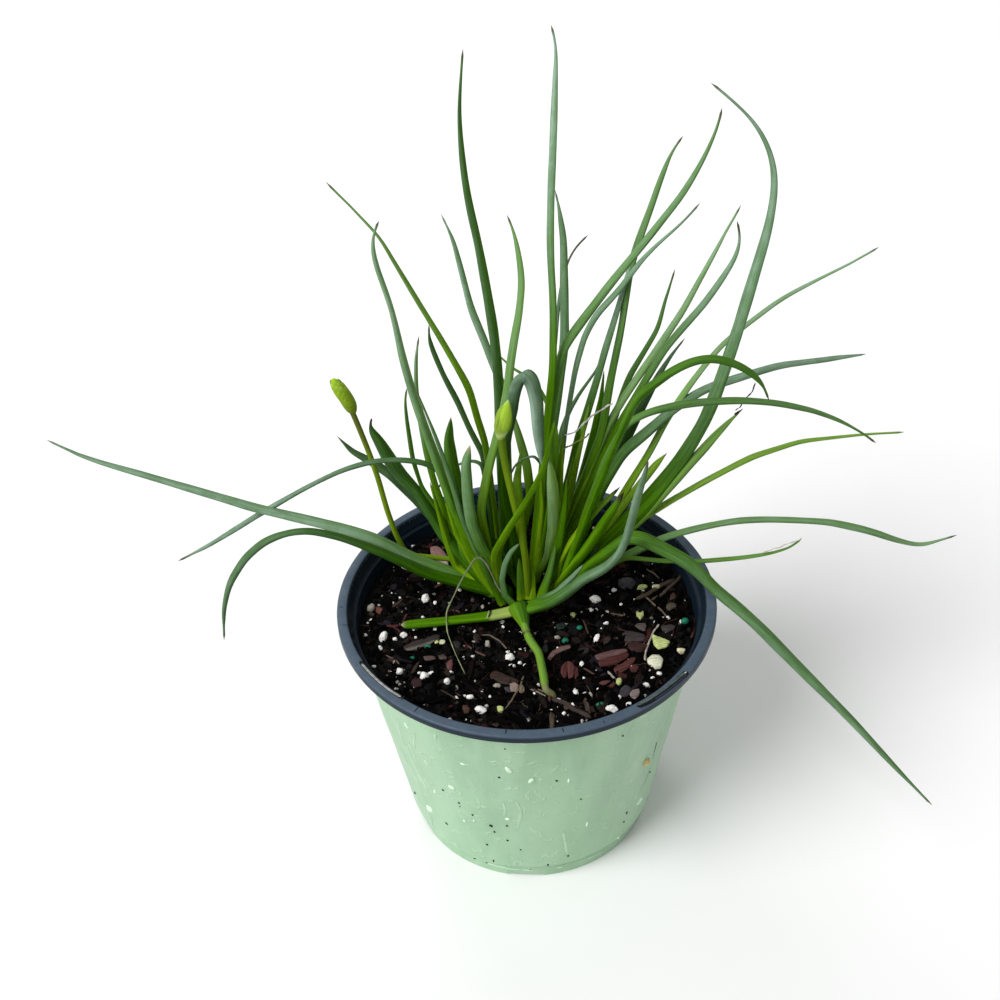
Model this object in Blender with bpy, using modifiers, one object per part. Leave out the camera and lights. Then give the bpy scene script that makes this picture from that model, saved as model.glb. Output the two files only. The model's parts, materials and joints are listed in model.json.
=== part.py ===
"""Potted bulbine: a clump of leafy shoots and two flower spikes in a nursery pot.

Metres, +Z up. The origin is on the pot's axis, on the surface that the pot stands on,
and the photograph looks along +Y and down. Sizes below are millimetres until MM is applied.
"""
import math
import random

import bmesh
import bpy
import numpy as np
from mathutils import Matrix, Vector, noise

MM = 0.001
GAP = 0.3
PAST = 1.0
SMOOTH_ANGLE = math.radians(40.0)

# The pot: one thermoformed piece with a flat rolled rim.
POT_HEIGHT = 118.0
RIM_RADIUS = 80.0
RIM_FLAT = 4.3
LIP_DROP = 3.5
LIP_WALL = 1.3
CREST = 1.0
EDGE = 0.5
WALL = 1.2
LEDGE_DROP = 5.2
LEDGE_HEIGHT = 1.0
LEDGE_STEP = 1.7
WALL_TOP_RADIUS = 75.4
WALL_BENDS = ((78.0, 67.9), (38.0, 61.2), (18.0, 58.0))
HEEL_RADIUS = 7.0
HEEL_INSET = 1.0
FLOOR_INSET = 2.0
FOOT_HEIGHT = 5.0
FOOT_RADIUS = 54.2
FOOT_WALL = 1.9
FOOT_TAPER = 0.4
BASE_RISE = 2.6
POT_SIDES = 48
ARCH_COUNT = 6
ARCH_WIDTH = 17.0
ARCH_DEPTH = 12.0
ARCH_RISE = 1.8
FIRST_ARCH = math.radians(-95.0)
DRAIN_COUNT = 6
DRAIN_RADIUS = 4.0
DRAIN_RING = 38.0

# The potting mix: lumps of two spans, flat where something stands or lies on it, lower at its edge.
SOIL_Z = 107.0
SOIL_LUMP = 1.3
LUMP_SPANS = (9.0, 4.2)
FINE_LUMP = 0.6
FLAT_FADE = 4.0
EDGE_START = 62.0
EDGE_FALL = 0.08
SOIL_CELL = 6.2
MIX_INSET = GAP + 0.1
HOLE_DEPTH = 13.0
HOLE_SIDES = 12

# Larger perlite grains, half sunk in the mix and fused with it.
GRAIN_COUNT = 24
GRAIN_SEED = 11
GRAIN_RADII = (1.2, 2.2)
GRAIN_REACH = 66.0
GRAIN_CLEAR = 2.5
STEM_CLEAR = 7.0

# The photograph's view: focal length in pixels, downward tilt, roll and the eye's place.
VIEW_FOCAL = 1400.0
VIEW_CENTRE = 500.0
VIEW_TILT = math.radians(37.9)
VIEW_ROLL = math.radians(-2.4)
VIEW_EYE = np.array([-9.3, -441.9, POT_HEIGHT + 395.9])

# Each shoot stands on a short stem base in its own hole: place (X, Y) and radius.
CROWNS = {
    "shoot_left": (-10.0, 13.5, 5.6),
    "shoot_back_left": (-8.0, 30.0, 5.0),
    "shoot_centre": (1.0, 19.5, 5.2),
    "shoot_back_right": (10.0, 32.0, 5.6),
    "shoot_right": (11.5, 12.5, 5.8),
}
CROWN_RISE = 3.0
CROWN_NECK = 0.78
ROOT_RISE = 2.6
ROOT_SPREAD = 0.4

# Rings of a leaf: spacing, and the turn that costs one more ring. Paths are rounded first.
RING_SPACING = 16.0
RING_TURN = 0.42
LEAST_RINGS = 5
PATH_SAMPLES = 121
PATH_PASSES = 12

# A leaf's section, in widths, with a channelled upper face over a keel, and its taper.
BLADE_SECTION = ((-0.5, 0.14), (0.0, 0.02), (0.5, 0.14), (0.27, -0.46), (-0.27, -0.46))
KEEL = 0.8
LEAST_WIDTH = 0.8
LEAST_DEPTH = 1.25
BASE_SWELL = 0.34
SWELL_FADE = 8.0
SHARP_TAPER = 2.8
FULL_TAPER = 4.5
BLUNT_TAPER = 9.0
TAPER_CURVE = 0.75
FULL = ("thin_arch", "tall_hooked", "bowed", "upright_dark", "tallest", "behind_tallest", "great_arch",
        "lean_bloomy", "lean_first", "lean_third", "curled_tip", "great_broad", "dropping_arch",
        "inner_dark")
BLUNT = ("stub_dark", "pale_tipped", "blunt_flat", "dry_tipped", "dry_beside", "small_grey",
         "small_upright", "thick_kinked", "small_inner", "hook", "pale_broad")

# Leaves by shoot: name, width, depth (Y) of the tip, and the midline in pixels from tip to root.
# Depth runs evenly along the leaf from the crown's to the tip's.
LEAVES = {
    "shoot_left": (
        ("low_long", 6.0, 38, ((47, 440), (100, 460), (170, 481), (250, 505), (329, 522),
                               (377, 538), (409, 557))),
        ("low_hooked", 5.4, -4, ((224, 640), (223, 610), (228, 585), (243, 558), (262, 540),
                                 (285, 530), (310, 528), (340, 535), (380, 550), (430, 574))),
        ("thin_arch", 3.0, 34, ((178, 561), (210, 543), (250, 517), (300, 490), (341, 470),
                                (371, 461), (400, 459), (431, 463), (445, 476), (470, 510))),
        ("short_dark", 4.0, 58, ((337, 436), (351, 452), (365, 460), (390, 475), (402, 486),
                                 (417, 500))),
        ("broad_dark", 6.6, 40, ((372, 418), (370, 427), (380, 440), (402, 476), (417, 493),
                                 (445, 535))),
        ("tall_hooked", 6.6, 14, ((379, 221), (374, 230), (372, 243), (376, 265), (386, 294),
                                  (395, 325), (402, 355), (411, 385), (421, 415), (432, 445),
                                  (452, 500), (472, 545))),
        ("grey_beside_tall", 4.4, 4, ((417, 392), (425, 410), (435, 434), (444, 458), (453, 484),
                                      (462, 515), (474, 545))),
        ("thin_upright", 3.2, 52, ((419, 336), (416, 357), (416, 385), (420, 420), (426, 452),
                                   (435, 485), (447, 516))),
        ("bowed", 3.6, 30, ((507, 215), (515, 235), (520, 263), (522, 284), (519, 312),
                            (513, 340), (508, 368), (505, 395), (497, 432), (488, 466),
                            (480, 512))),
        ("bright_crossing", 4.6, -10, ((555, 420), (543, 468), (534, 487), (523, 506),
                                       (509, 527), (495, 552))),
        ("inner_bright", 3.8, 26, ((430, 482), (440, 515), (449, 545), (457, 566))),
        ("inner_broad", 5.6, 14, ((445, 500), (457, 530), (470, 553), (484, 575))),
        ("thin_outer", 3.0, 44, ((407, 388), (405, 401), (407, 421), (413, 460), (422, 488))),
        ("stub_dark", 5.2, 30, ((451, 417), (449, 440), (452, 464), (462, 500))),
        ("small_arch", 2.6, 36, ((438, 489), (445, 475), (458, 464), (471, 460), (482, 463),
                                 (489, 500))),
        ("pale_tipped", 4.6, 0, ((470, 445), (466, 464), (468, 499), (472, 523), (481, 546),
                                 (493, 562))),
    ),
    "shoot_back_left": (
        ("long_bright", 3.2, 62, ((326, 182), (350, 208), (380, 238), (416, 298), (443, 342),
                                  (470, 389), (478, 420), (486, 443))),
        ("dark", 3.6, 66, ((429, 324), (429, 340), (436, 357), (446, 378), (459, 402),
                           (472, 432), (483, 453))),
        ("upright_dark", 4.0, 40, ((463, 49), (461, 76), (459, 111), (461, 146), (465, 181),
                                   (470, 209), (478, 242), (487, 291), (494, 333), (498, 368))),
        ("bloomy", 4.0, 78, ((441, 214), (453, 239), (463, 277), (471, 309), (484, 340),
                             (492, 361), (501, 382), (506, 399))),
        ("grey_behind_bud", 3.6, 48, ((503, 392), (512, 413), (520, 440), (527, 466), (531, 500))),
    ),
    "shoot_centre": (
        ("thin_cross", 2.8, 50, ((489, 348), (501, 357), (513, 369), (527, 376), (539, 387),
                                 (549, 407), (556, 430), (557, 470))),
        ("tallest", 3.6, 36, ((551, 25), (557, 41), (557, 62), (555, 104), (553, 146),
                              (551, 188), (550, 240), (551, 270), (553, 298), (553, 368))),
        ("behind_tallest", 3.6, 66, ((555, 190), (561, 211), (565, 239), (565, 267), (565, 302),
                                     (565, 340))),
        ("great_arch", 6.0, 42, ((722, 108), (718, 127), (703, 160), (682, 195), (657, 226),
                                 (636, 251), (611, 280), (585, 313), (560, 348), (551, 400),
                                 (547, 440), (551, 490))),
        ("hook", 3.9, 8, ((544, 471), (539, 456), (537, 436), (535, 400), (532, 379),
                            (525, 371), (517, 378), (510, 400), (503, 440), (502, 490))),
        ("low_arch", 2.2, 30, ((511, 474), (514, 466), (522, 459), (534, 455), (543, 466),
                               (547, 500))),
        ("thin_tip", 2.8, 78, ((588, 235), (576, 246), (568, 260), (561, 285), (558, 310))),
        ("inner_left", 4.4, 34, ((522, 446), (517, 480), (519, 520))),
        ("inner_right", 4.4, 30, ((563, 432), (560, 470), (556, 520))),
        ("pale_broad", 4.6, 14, ((549, 459), (551, 478), (553, 502), (553, 528), (548, 555))),
        ("fan_left", 4.6, 14, ((494, 536), (503, 555), (512, 572), (519, 584))),
        ("fan_middle", 4.6, 22, ((541, 472), (541, 505), (538, 540), (535, 565))),
    ),
    "shoot_back_right": (
        ("lean_bloomy", 4.2, 64, ((642, 234), (633, 256), (622, 290), (612, 325), (604, 352),
                                  (597, 380), (588, 415), (578, 452), (567, 490))),
        ("inner_shadow", 4.6, 62, ((604, 370), (601, 400), (595, 430), (587, 465), (577, 500))),
        ("inner_tip", 4.2, 46, ((590, 402), (581, 438), (573, 470), (564, 510))),
        ("lean_first", 3.8, 74, ((683, 136), (673, 148), (666, 165), (659, 183), (651, 207),
                                 (637, 244), (629, 272), (621, 330), (611, 382), (603, 433))),
        ("lean_second", 3.4, 66, ((700, 203), (680, 225), (659, 242), (638, 262), (619, 290),
                                  (596, 316), (585, 340), (575, 369), (563, 420))),
        ("lean_dark", 4.0, 83, ((675, 269), (665, 297), (657, 328), (642, 354), (629, 376),
                                (610, 430))),
        ("lean_third", 3.8, 70, ((741, 205), (723, 239), (703, 274), (682, 310), (662, 338),
                                 (644, 364), (624, 394), (608, 422))),
        ("curled_tip", 3.4, 60, ((737, 221), (741, 239), (736, 257), (721, 280), (703, 305),
                                 (682, 328), (665, 348), (649, 374), (618, 425))),
        ("lean_short", 4.6, 80, ((685, 338), (672, 354), (659, 374), (640, 410), (620, 450))),
        ("fan_lime", 4.2, 44, ((598, 468), (590, 500), (581, 528), (571, 548))),
        ("inner_olive", 4.4, 50, ((608, 405), (603, 426), (597, 447), (591, 471), (585, 499))),
        ("inner_dark", 2.6, 66, ((603, 354), (596, 371), (583, 391), (570, 411), (561, 432))),
    ),
    "shoot_right": (
        ("great_broad", 6.6, 60, ((711, 83), (733, 101), (754, 121), (769, 147), (775, 172),
                                  (774, 198), (768, 229), (759, 259), (749, 292), (739, 325),
                                  (728, 356), (716, 389), (703, 420), (682, 456), (647, 502))),
        ("far_upper", 3.4, 82, ((879, 247), (841, 267), (810, 283), (779, 300), (746, 325),
                                (723, 343), (708, 361), (687, 389), (667, 420), (651, 451),
                                (631, 482), (615, 508))),
        ("dry_tipped", 5.0, 2, ((624, 492), (606, 518), (588, 545), (566, 572), (549, 590))),
        ("dry_beside", 3.2, 12, ((620, 487), (602, 504), (587, 520), (571, 541), (560, 560))),
        ("blunt_flat", 4.6, 70, ((866, 354), (828, 360), (779, 366), (751, 374), (708, 387),
                                 (687, 399), (670, 411), (649, 430), (623, 451), (602, 486))),
        ("dropping_arch", 5.0, 0, ((769, 400), (764, 384), (751, 371), (733, 362), (713, 357),
                                (693, 360), (672, 370), (657, 381), (636, 397), (612, 450))),
        ("long_arch", 3.0, 26, ((876, 443), (866, 434), (841, 419), (810, 407), (777, 401),
                                (739, 399), (687, 403), (649, 411), (624, 424), (604, 460))),
        ("lime", 3.0, 44, ((904, 432), (866, 434), (828, 438), (800, 441), (779, 448),
                           (753, 456), (728, 468), (702, 481), (676, 495), (656, 508),
                           (637, 520))),
        ("dry_thread_tip", 4.6, 30, ((742, 409), (731, 421), (715, 436), (689, 464), (664, 492),
                                     (644, 515))),
        ("low_far", 3.6, 34, ((957, 535), (940, 540), (920, 546), (895, 540), (865, 530),
                              (830, 522), (800, 520), (766, 519), (740, 520), (715, 524),
                              (689, 530), (664, 537), (645, 546))),
        ("great_drooping", 6.6, -72, ((932, 805), (900, 772), (850, 718), (800, 668), (760, 627),
                                      (732, 602), (713, 588), (700, 571), (687, 561),
                                      (668, 551), (649, 541), (631, 533))),
        ("low_thin", 2.6, 4, ((802, 538), (791, 546), (772, 552), (740, 557), (702, 561),
                               (664, 561), (625, 557))),
        ("small_inner", 3.6, 34, ((667, 453), (656, 464), (640, 484))),
        ("fan_right", 4.8, 16, ((567, 478), (564, 508), (559, 540), (553, 565))),
    ),
}

# The front shoot lies on the mix: its stem comes out of a hole at the front, runs back to a
# joint and opens in a sheath. Stem points are pixels with heights; leaves are as above.
FRONT_HOLE = (8.6, -49.0)
FRONT_STEM = ((547, 691, 111.4), (542, 673, 112.0), (536, 655, 112.2), (531, 642, 112.2),
              (527, 632, 112.4))
FRONT_STEM_WIDTH = 2.8
FRONT_STEM_RINGS = 6.0
FRONT_LEAF_RINGS = 10.0
SHEATH_TOP = (518, 606, 117.0)
SHEATH_WIDTH = 6.6
SHEATH_SIDES = 8
SHEATH_RINGS = 5
FRONT_LEAVES = (
    ("thick_kinked", 6.4, -22, ((648, 460), (645, 472), (637, 495), (631, 518), (626, 537),
                                (619, 553), (608, 565), (598, 571), (583, 578), (570, 589),
                                (550, 602))),
    ("small_grey", 3.4, -2, ((584, 564), (573, 576), (556, 592))),
    ("small_upright", 2.8, 2, ((520, 543), (511, 552), (505, 564), (502, 580), (505, 596))),
)
LYING_LEAF = ((401, 625, 111.6), (445, 621, 112.0), (488, 616, 112.6), (508, 612, 114.4))
LYING_LEAF_WIDTH = 3.8
DRY_CURL = ((465, 674, 111.0), (455, 653, 112.0), (447, 632, 113.0), (446, 612, 114.0),
            (462, 579, 126.0), (477, 555, 137.0), (486, 562, 134.0), (499, 590, 121.0))
DRY_CURL_WIDTH = 1.3

# Flower spikes: place of the stem's hole, tip depth, stem midline from the head down, and head.
# The left head shows its buds. The centre one is still closed and smooth.
SPIKES = {
    "flower_spike_left": dict(
        hole=(-22.0, 27.5), depth=37.0, width=2.4,
        stem=((352, 411), (360, 430), (370, 455), (378, 478), (387, 510), (396, 535),
              (407, 555)),
        head=(340, 381), head_width=6.4, buds=15, core_share=0.72),
    "flower_spike_centre": dict(
        hole=(1.2, 10.0), depth=8.0, width=3.0,
        stem=((501, 436), (503, 453), (508, 478), (514, 503), (520, 527), (525, 555)),
        head=(509, 401), head_width=6.6, buds=0, core_share=1.0),
}
SPIKE_FOOT = 8.0
SPIKE_RINGS = 11.0
BUD_LEAN = math.radians(24.0)
GOLDEN_ANGLE = math.radians(137.5)

# Loose pieces on the mix: pixel centre, length, width, thickness, turn in degrees, colour.
CHIPS = {
    "bark_chip_pink": (437, 557, 13.0, 7.0, 1.8, -58, (0.50, 0.33, 0.30)),
    "bark_chip_brown": (503, 681, 13.0, 8.0, 1.6, -22, (0.13, 0.08, 0.06)),
    "bark_chip_grey": (627, 583, 8.0, 5.5, 2.0, 20, (0.09, 0.08, 0.10)),
    "husk_red_right": (618, 659, 14.0, 9.0, 2.6, 12, (0.21, 0.07, 0.06)),
    "husk_red_front": (569, 670, 8.0, 8.0, 2.6, 70, (0.20, 0.06, 0.06)),
}
STICKS = {
    "twig_front": (((556, 700), (572, 706), (590, 718)), 2.2, (0.14, 0.09, 0.07)),
    "stick_right": (((640, 597), (656, 589), (671, 581)), 2.4, (0.20, 0.14, 0.09)),
}

MINT = (0.41, 0.63, 0.42)
BLACK_MIX = (0.012, 0.010, 0.009)
LEAF_GREEN = (0.09, 0.21, 0.05)
LEAF_GREY = (0.16, 0.28, 0.17)
SCAPE_GREEN = (0.20, 0.30, 0.04)


def clear_scene():
    for old in list(bpy.data.objects):
        bpy.data.objects.remove(old, do_unlink=True)


def make_collection(name):
    group = bpy.data.collections.new(name)
    bpy.context.scene.collection.children.link(group)
    return group


def make_material(name, colour, roughness):
    material = bpy.data.materials.new(name)
    material.use_nodes = True
    shader = material.node_tree.nodes["Principled BSDF"]
    shader.inputs["Base Color"].default_value = (*colour, 1.0)
    shader.inputs["Roughness"].default_value = roughness
    shader.inputs["Metallic"].default_value = 0.0
    return material


def add_object(name, mesh, group, material=None):
    made = bpy.data.objects.new(name, mesh)
    group.objects.link(made)
    if material:
        mesh.materials.clear()
        mesh.materials.append(material)
    return made


def mesh_of(name, form):
    """The mesh of a bmesh that is in millimetres."""
    bmesh.ops.scale(form, vec=(MM, MM, MM), verts=form.verts)
    mesh = bpy.data.meshes.new(name)
    form.to_mesh(mesh)
    form.free()
    return mesh


def apply_modifiers(target):
    graph = bpy.context.evaluated_depsgraph_get()
    mesh = bpy.data.meshes.new_from_object(target.evaluated_get(graph))
    target.modifiers.clear()
    target.data = mesh


def boolean(target, operation, group, solver='MANIFOLD'):
    """Cut or join the target with a whole collection, apply that and remove the collection.

    EXACT leaves open edges where leaves graze each other in a crown, and where grains and
    holes meet the lumps of the mix, so those use MANIFOLD.
    """
    for used in group.objects:
        used.hide_render = True
        used.display_type = 'WIRE'
    step = target.modifiers.new(operation.lower(), 'BOOLEAN')
    step.operation = operation
    step.solver = solver
    step.operand_type = 'COLLECTION'
    step.collection = group
    apply_modifiers(target)
    for used in list(group.objects):
        bpy.data.objects.remove(used, do_unlink=True)
    bpy.data.collections.remove(group)


def view_axes():
    """The view's directions to the right, up and ahead."""
    ahead = np.array([0.0, math.cos(VIEW_TILT), -math.sin(VIEW_TILT)])
    level_up = np.array([0.0, math.sin(VIEW_TILT), math.cos(VIEW_TILT)])
    level_right = np.array([1.0, 0.0, 0.0])
    right = level_right * math.cos(VIEW_ROLL) + level_up * math.sin(VIEW_ROLL)
    up = level_up * math.cos(VIEW_ROLL) - level_right * math.sin(VIEW_ROLL)
    return right, up, ahead


def view_ray(px, py):
    """Direction from the eye through a pixel of the photograph."""
    right, up, ahead = view_axes()
    return ahead + right * (px - VIEW_CENTRE) / VIEW_FOCAL + up * (VIEW_CENTRE - py) / VIEW_FOCAL


def at_depth(px, py, depth):
    ray = view_ray(px, py)
    return VIEW_EYE + ray * (depth - VIEW_EYE[1]) / ray[1]


def at_height(px, py, height):
    ray = view_ray(px, py)
    return VIEW_EYE + ray * (height - VIEW_EYE[2]) / ray[2]


def pixel_of(point):
    """The pixel where the photograph's view shows a point."""
    right, up, ahead = view_axes()
    offset = np.asarray(point) - VIEW_EYE
    scale = VIEW_FOCAL / offset.dot(ahead)
    return np.array([VIEW_CENTRE + scale * offset.dot(right), VIEW_CENTRE - scale * offset.dot(up)])


def arc_fractions(points):
    steps = np.linalg.norm(np.diff(points, axis=0), axis=1)
    along = np.concatenate(([0.0], np.cumsum(steps)))
    return along / along[-1]


def resample(points, count):
    wanted = np.linspace(0.0, 1.0, count)
    along = arc_fractions(points)
    return np.column_stack([np.interp(wanted, along, points[:, axis]) for axis in range(3)])


def smooth_path(points, spacing):
    """A path through the points, rounded at each, with rings closer together where it bends."""
    path = resample(np.asarray(points, dtype=float), PATH_SAMPLES)
    for _ in range(PATH_PASSES):
        path[1:-1] = 0.25 * path[:-2] + 0.5 * path[1:-1] + 0.25 * path[2:]
    steps = np.diff(path, axis=0)
    lengths = np.linalg.norm(steps, axis=1)
    heads = steps / lengths[:, None]
    turns = np.arccos(np.clip((heads[1:] * heads[:-1]).sum(axis=1), -1.0, 1.0))
    weights = lengths / spacing
    weights[1:] += turns / RING_TURN
    measure = np.concatenate(([0.0], np.cumsum(weights)))
    wanted = np.linspace(0.0, measure[-1], max(LEAST_RINGS, math.ceil(measure[-1]) + 1))
    return np.column_stack([np.interp(wanted, measure, path[:, axis]) for axis in range(3)])


def rising_points(start, tip_depth, pixels):
    """Points up a leaf or stem: its depth runs evenly from the start's to the tip's."""
    seen = np.vstack([pixel_of(start), np.array(pixels[::-1], dtype=float)])
    depths = start[1] + (tip_depth - start[1]) * arc_fractions(seen)
    return [at_depth(*pixel, depth) for pixel, depth in zip(seen[1:], depths[1:])]


def leaf_path(crown, tip_depth, pixels):
    """A leaf's midline from its root in the crown to its tip."""
    x, y, radius = crown
    root = np.array([x, y, SOIL_Z + ROOT_RISE])
    outward = at_depth(*pixels[-1], y)[:2] - root[:2]
    reach = np.linalg.norm(outward)
    root[:2] += outward / reach * min(ROOT_SPREAD * radius, 0.5 * reach)
    return smooth_path([root] + rising_points(root, tip_depth, pixels), RING_SPACING)


def loft(name, path, section, widths, depths):
    """A closed body along a path: the section scaled at each ring, and a point at the tip."""
    ends = path[-1] - path[0]
    side = np.cross([ends[0], ends[1], 0.0], [0.0, 0.0, 1.0])
    form = bmesh.new()
    rings = []
    for place, tangent, wide, deep in zip(path[:-1], np.gradient(path, axis=0), widths, depths):
        tangent = tangent / np.linalg.norm(tangent)
        across = side - tangent * side.dot(tangent)
        across /= np.linalg.norm(across)
        upper = np.cross(across, tangent)
        corners = [place + across * u * wide + upper * v * deep for u, v in section]
        rings.append([form.verts.new(corner) for corner in corners])
    join_rings(form, rings, path[-1])
    return mesh_of(name, form)


def join_rings(form, rings, tip):
    """Faces between rings, a cap on the first ring and a point past the last."""
    sides = len(rings[0])
    for near, far in zip(rings[:-1], rings[1:]):
        for i in range(sides):
            j = (i + 1) % sides
            form.faces.new((near[i], near[j], far[j], far[i]))
    form.faces.new(list(reversed(rings[0])))
    point = form.verts.new(tip)
    for i in range(sides):
        form.faces.new((rings[-1][i], rings[-1][(i + 1) % sides], point))
    bmesh.ops.recalc_face_normals(form, faces=form.faces)


def blade_mesh(name, path, width):
    """A leaf: widest just above its root, then drawn out to a point or a blunt end."""
    along = arc_fractions(path)
    power = BLUNT_TAPER if name in BLUNT else FULL_TAPER if name in FULL else SHARP_TAPER
    taper = np.clip(1.0 - along ** power, 0.0, 1.0) ** TAPER_CURVE
    swell = 1.0 + BASE_SWELL * np.exp(-along * SWELL_FADE)
    widths = np.maximum(width * taper * swell, LEAST_WIDTH)
    depths = np.maximum(KEEL * widths, LEAST_DEPTH)
    return loft(name, path, BLADE_SECTION, widths, depths)


def stem_mesh(name, path, width):
    """A round stem, as a six-sided rod."""
    turns = math.pi * (np.arange(6) / 3.0 + 1.0 / 6.0)
    section = 0.5 * np.column_stack([-np.cos(turns), np.sin(turns)])
    widths = np.full(len(path), width)
    return loft(name, path, section, widths, widths)


def turned(name, outline, sides, group, material=None):
    """A turned body: its outline runs up the inside, over the top and down the outside."""
    form = bmesh.new()
    verts = [form.verts.new((radius, 0.0, height)) for radius, height in outline]
    for a, b in zip(verts[:-1], verts[1:]):
        form.edges.new((a, b))
    made = add_object(name, mesh_of(name, form), group, material)
    screw = made.modifiers.new("turn", 'SCREW')
    screw.steps = sides
    screw.render_steps = sides
    screw.use_merge_vertices = True
    screw.merge_threshold = 0.00001
    apply_modifiers(made)
    return made


def cylinder(name, radius, bottom, top, place, group):
    form = bmesh.new()
    bmesh.ops.create_cone(form, cap_ends=True, segments=HOLE_SIDES, radius1=radius,
                          radius2=radius, depth=top - bottom)
    bmesh.ops.translate(form, vec=(*place, 0.5 * (bottom + top)), verts=form.verts)
    return add_object(name, mesh_of(name, form), group)


def arc_points(centre, radius, start_deg, end_deg, count):
    turns = np.radians(np.linspace(start_deg, end_deg, count))
    return [(centre[0] + radius * math.cos(t), centre[1] + radius * math.sin(t)) for t in turns]


def wall_radius(height):
    """Outer radius of the pot's tapering wall."""
    ledge = (POT_HEIGHT - LEDGE_DROP - LEDGE_HEIGHT, WALL_TOP_RADIUS - LEDGE_STEP)
    heights, radii = zip(*reversed((ledge, *WALL_BENDS)))
    return float(np.interp(height, heights, radii))


def heel_centre():
    """Centre (radius, height) of the rounded heel between the wall and the foot."""
    return WALL_BENDS[-1][1] - HEEL_INSET - HEEL_RADIUS, FOOT_HEIGHT + HEEL_RADIUS


def pot_outline():
    """Half section of the pot: floor, inner wall, rim and outer wall, then the raised base."""
    floor_top = BASE_RISE + WALL
    ledge_z = POT_HEIGHT - LEDGE_DROP
    below_ledge = ledge_z - LEDGE_HEIGHT
    flat_in = RIM_RADIUS - RIM_FLAT
    under_flat = POT_HEIGHT - WALL
    lip_in = RIM_RADIUS - LIP_WALL
    foot_in = FOOT_RADIUS - FOOT_WALL
    heel = heel_centre()
    inside = [(0.0, floor_top), (heel[0] - FLOOR_INSET, floor_top)]
    inside += arc_points(heel, HEEL_RADIUS - WALL, -60.0, 0.0, 3)
    inside += [(radius - WALL, height) for height, radius in reversed(WALL_BENDS)]
    inside += [(wall_radius(below_ledge) - WALL, below_ledge), (WALL_TOP_RADIUS - WALL, ledge_z)]
    rim = [(flat_in - EDGE, POT_HEIGHT - EDGE), (flat_in, POT_HEIGHT)]
    rim += arc_points((RIM_RADIUS - CREST, POT_HEIGHT - CREST), CREST, 90.0, 0.0, 3)
    rim += [(RIM_RADIUS, POT_HEIGHT - LIP_DROP), (lip_in, POT_HEIGHT - LIP_DROP)]
    rim += [(lip_in, under_flat), (WALL_TOP_RADIUS + EDGE, under_flat)]
    outside = [(WALL_TOP_RADIUS, ledge_z - EDGE), (wall_radius(below_ledge), below_ledge - EDGE)]
    outside += [(radius, height) for height, radius in WALL_BENDS]
    outside += arc_points(heel, HEEL_RADIUS, 0.0, -66.0, 4)
    foot = [(FOOT_RADIUS + FOOT_TAPER, FOOT_HEIGHT), (FOOT_RADIUS, 0.0), (foot_in, 0.0)]
    base = [(foot_in - FOOT_TAPER, BASE_RISE), (0.0, BASE_RISE)]
    return inside + rim + outside + foot + base


def build_pot(parts):
    """The pot: a turned shell, with arches cut in its foot and drain holes in its base."""
    pot = turned("pot", pot_outline(), POT_SIDES, parts, make_material("mint_plastic", MINT, 0.42))
    tools = make_collection("pot_cutters")
    for i in range(ARCH_COUNT):
        add_arch(i, tools)
    for i in range(DRAIN_COUNT):
        turn = 2.0 * math.pi * (i + 0.5) / DRAIN_COUNT
        place = (DRAIN_RING * math.cos(turn), DRAIN_RING * math.sin(turn))
        cylinder(f"drain_{i}", DRAIN_RADIUS, -PAST, BASE_RISE + WALL + PAST, place, tools)
    boolean(pot, 'DIFFERENCE', tools, solver='EXACT')


def add_arch(number, group):
    """The cutter of one shallow arch in the foot ring."""
    name = f"arch_{number}"
    turn = Matrix.Rotation(FIRST_ARCH + number * 2.0 * math.pi / ARCH_COUNT, 3, 'Z')
    form = bmesh.new()
    bmesh.ops.create_cube(form, size=1.0)
    bmesh.ops.scale(form, vec=(ARCH_DEPTH, ARCH_WIDTH, 2.0 * ARCH_RISE), verts=form.verts)
    bmesh.ops.translate(form, vec=(FOOT_RADIUS, 0.0, 0.0), verts=form.verts)
    bmesh.ops.rotate(form, cent=(0, 0, 0), matrix=turn, verts=form.verts)
    add_object(name, mesh_of(name, form), group)


def soil_rests():
    """Places (X, Y, radius) where the mix is flat: round stems and under loose pieces."""
    rests = [(x, y, radius + 2.0) for x, y, radius in CROWNS.values()]
    rests += [(*spike["hole"], 4.0) for spike in SPIKES.values()]
    rests += [(*FRONT_HOLE, 5.0)]
    for px, py, length, *_ in CHIPS.values():
        spot = at_height(px, py, SOIL_Z)
        rests.append((spot[0], spot[1], 0.5 * length + 2.5))
    for pixels, *_ in STICKS.values():
        for px, py in pixels:
            spot = at_height(px, py, SOIL_Z)
            rests.append((spot[0], spot[1], 5.5))
    return rests


def soil_height(x, y):
    """Height of the mix: coarse lumps, flat at each rest and falling a little at the edge."""
    coarse, fine = LUMP_SPANS
    lumps = noise.noise((x / coarse, y / coarse, 3.0))
    lumps += FINE_LUMP * noise.noise((x / fine, y / fine, 7.0))
    share = 1.0
    for cx, cy, radius in soil_rests():
        beyond = math.hypot(x - cx, y - cy) - radius
        share = min(share, max(0.0, min(1.0, beyond / FLAT_FADE)))
    fall = EDGE_FALL * max(0.0, math.hypot(x, y) - EDGE_START)
    return SOIL_Z + (SOIL_LUMP * lumps - fall) * share


def mix_outline():
    """Half section of the space that the mix fills, with its gap to the pot."""
    heel = heel_centre()
    floor_top = BASE_RISE + WALL + GAP
    inset = WALL + MIX_INSET
    over = POT_HEIGHT - LEDGE_DROP - LEDGE_HEIGHT - MIX_INSET
    side = [(0.0, over), (wall_radius(over) - inset, over)]
    side += [(radius - inset, height) for height, radius in WALL_BENDS]
    side += arc_points(heel, HEEL_RADIUS - inset, 0.0, -60.0, 3)
    return side + [(heel[0] - FLOOR_INSET - MIX_INSET, floor_top), (0.0, floor_top)]


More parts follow.
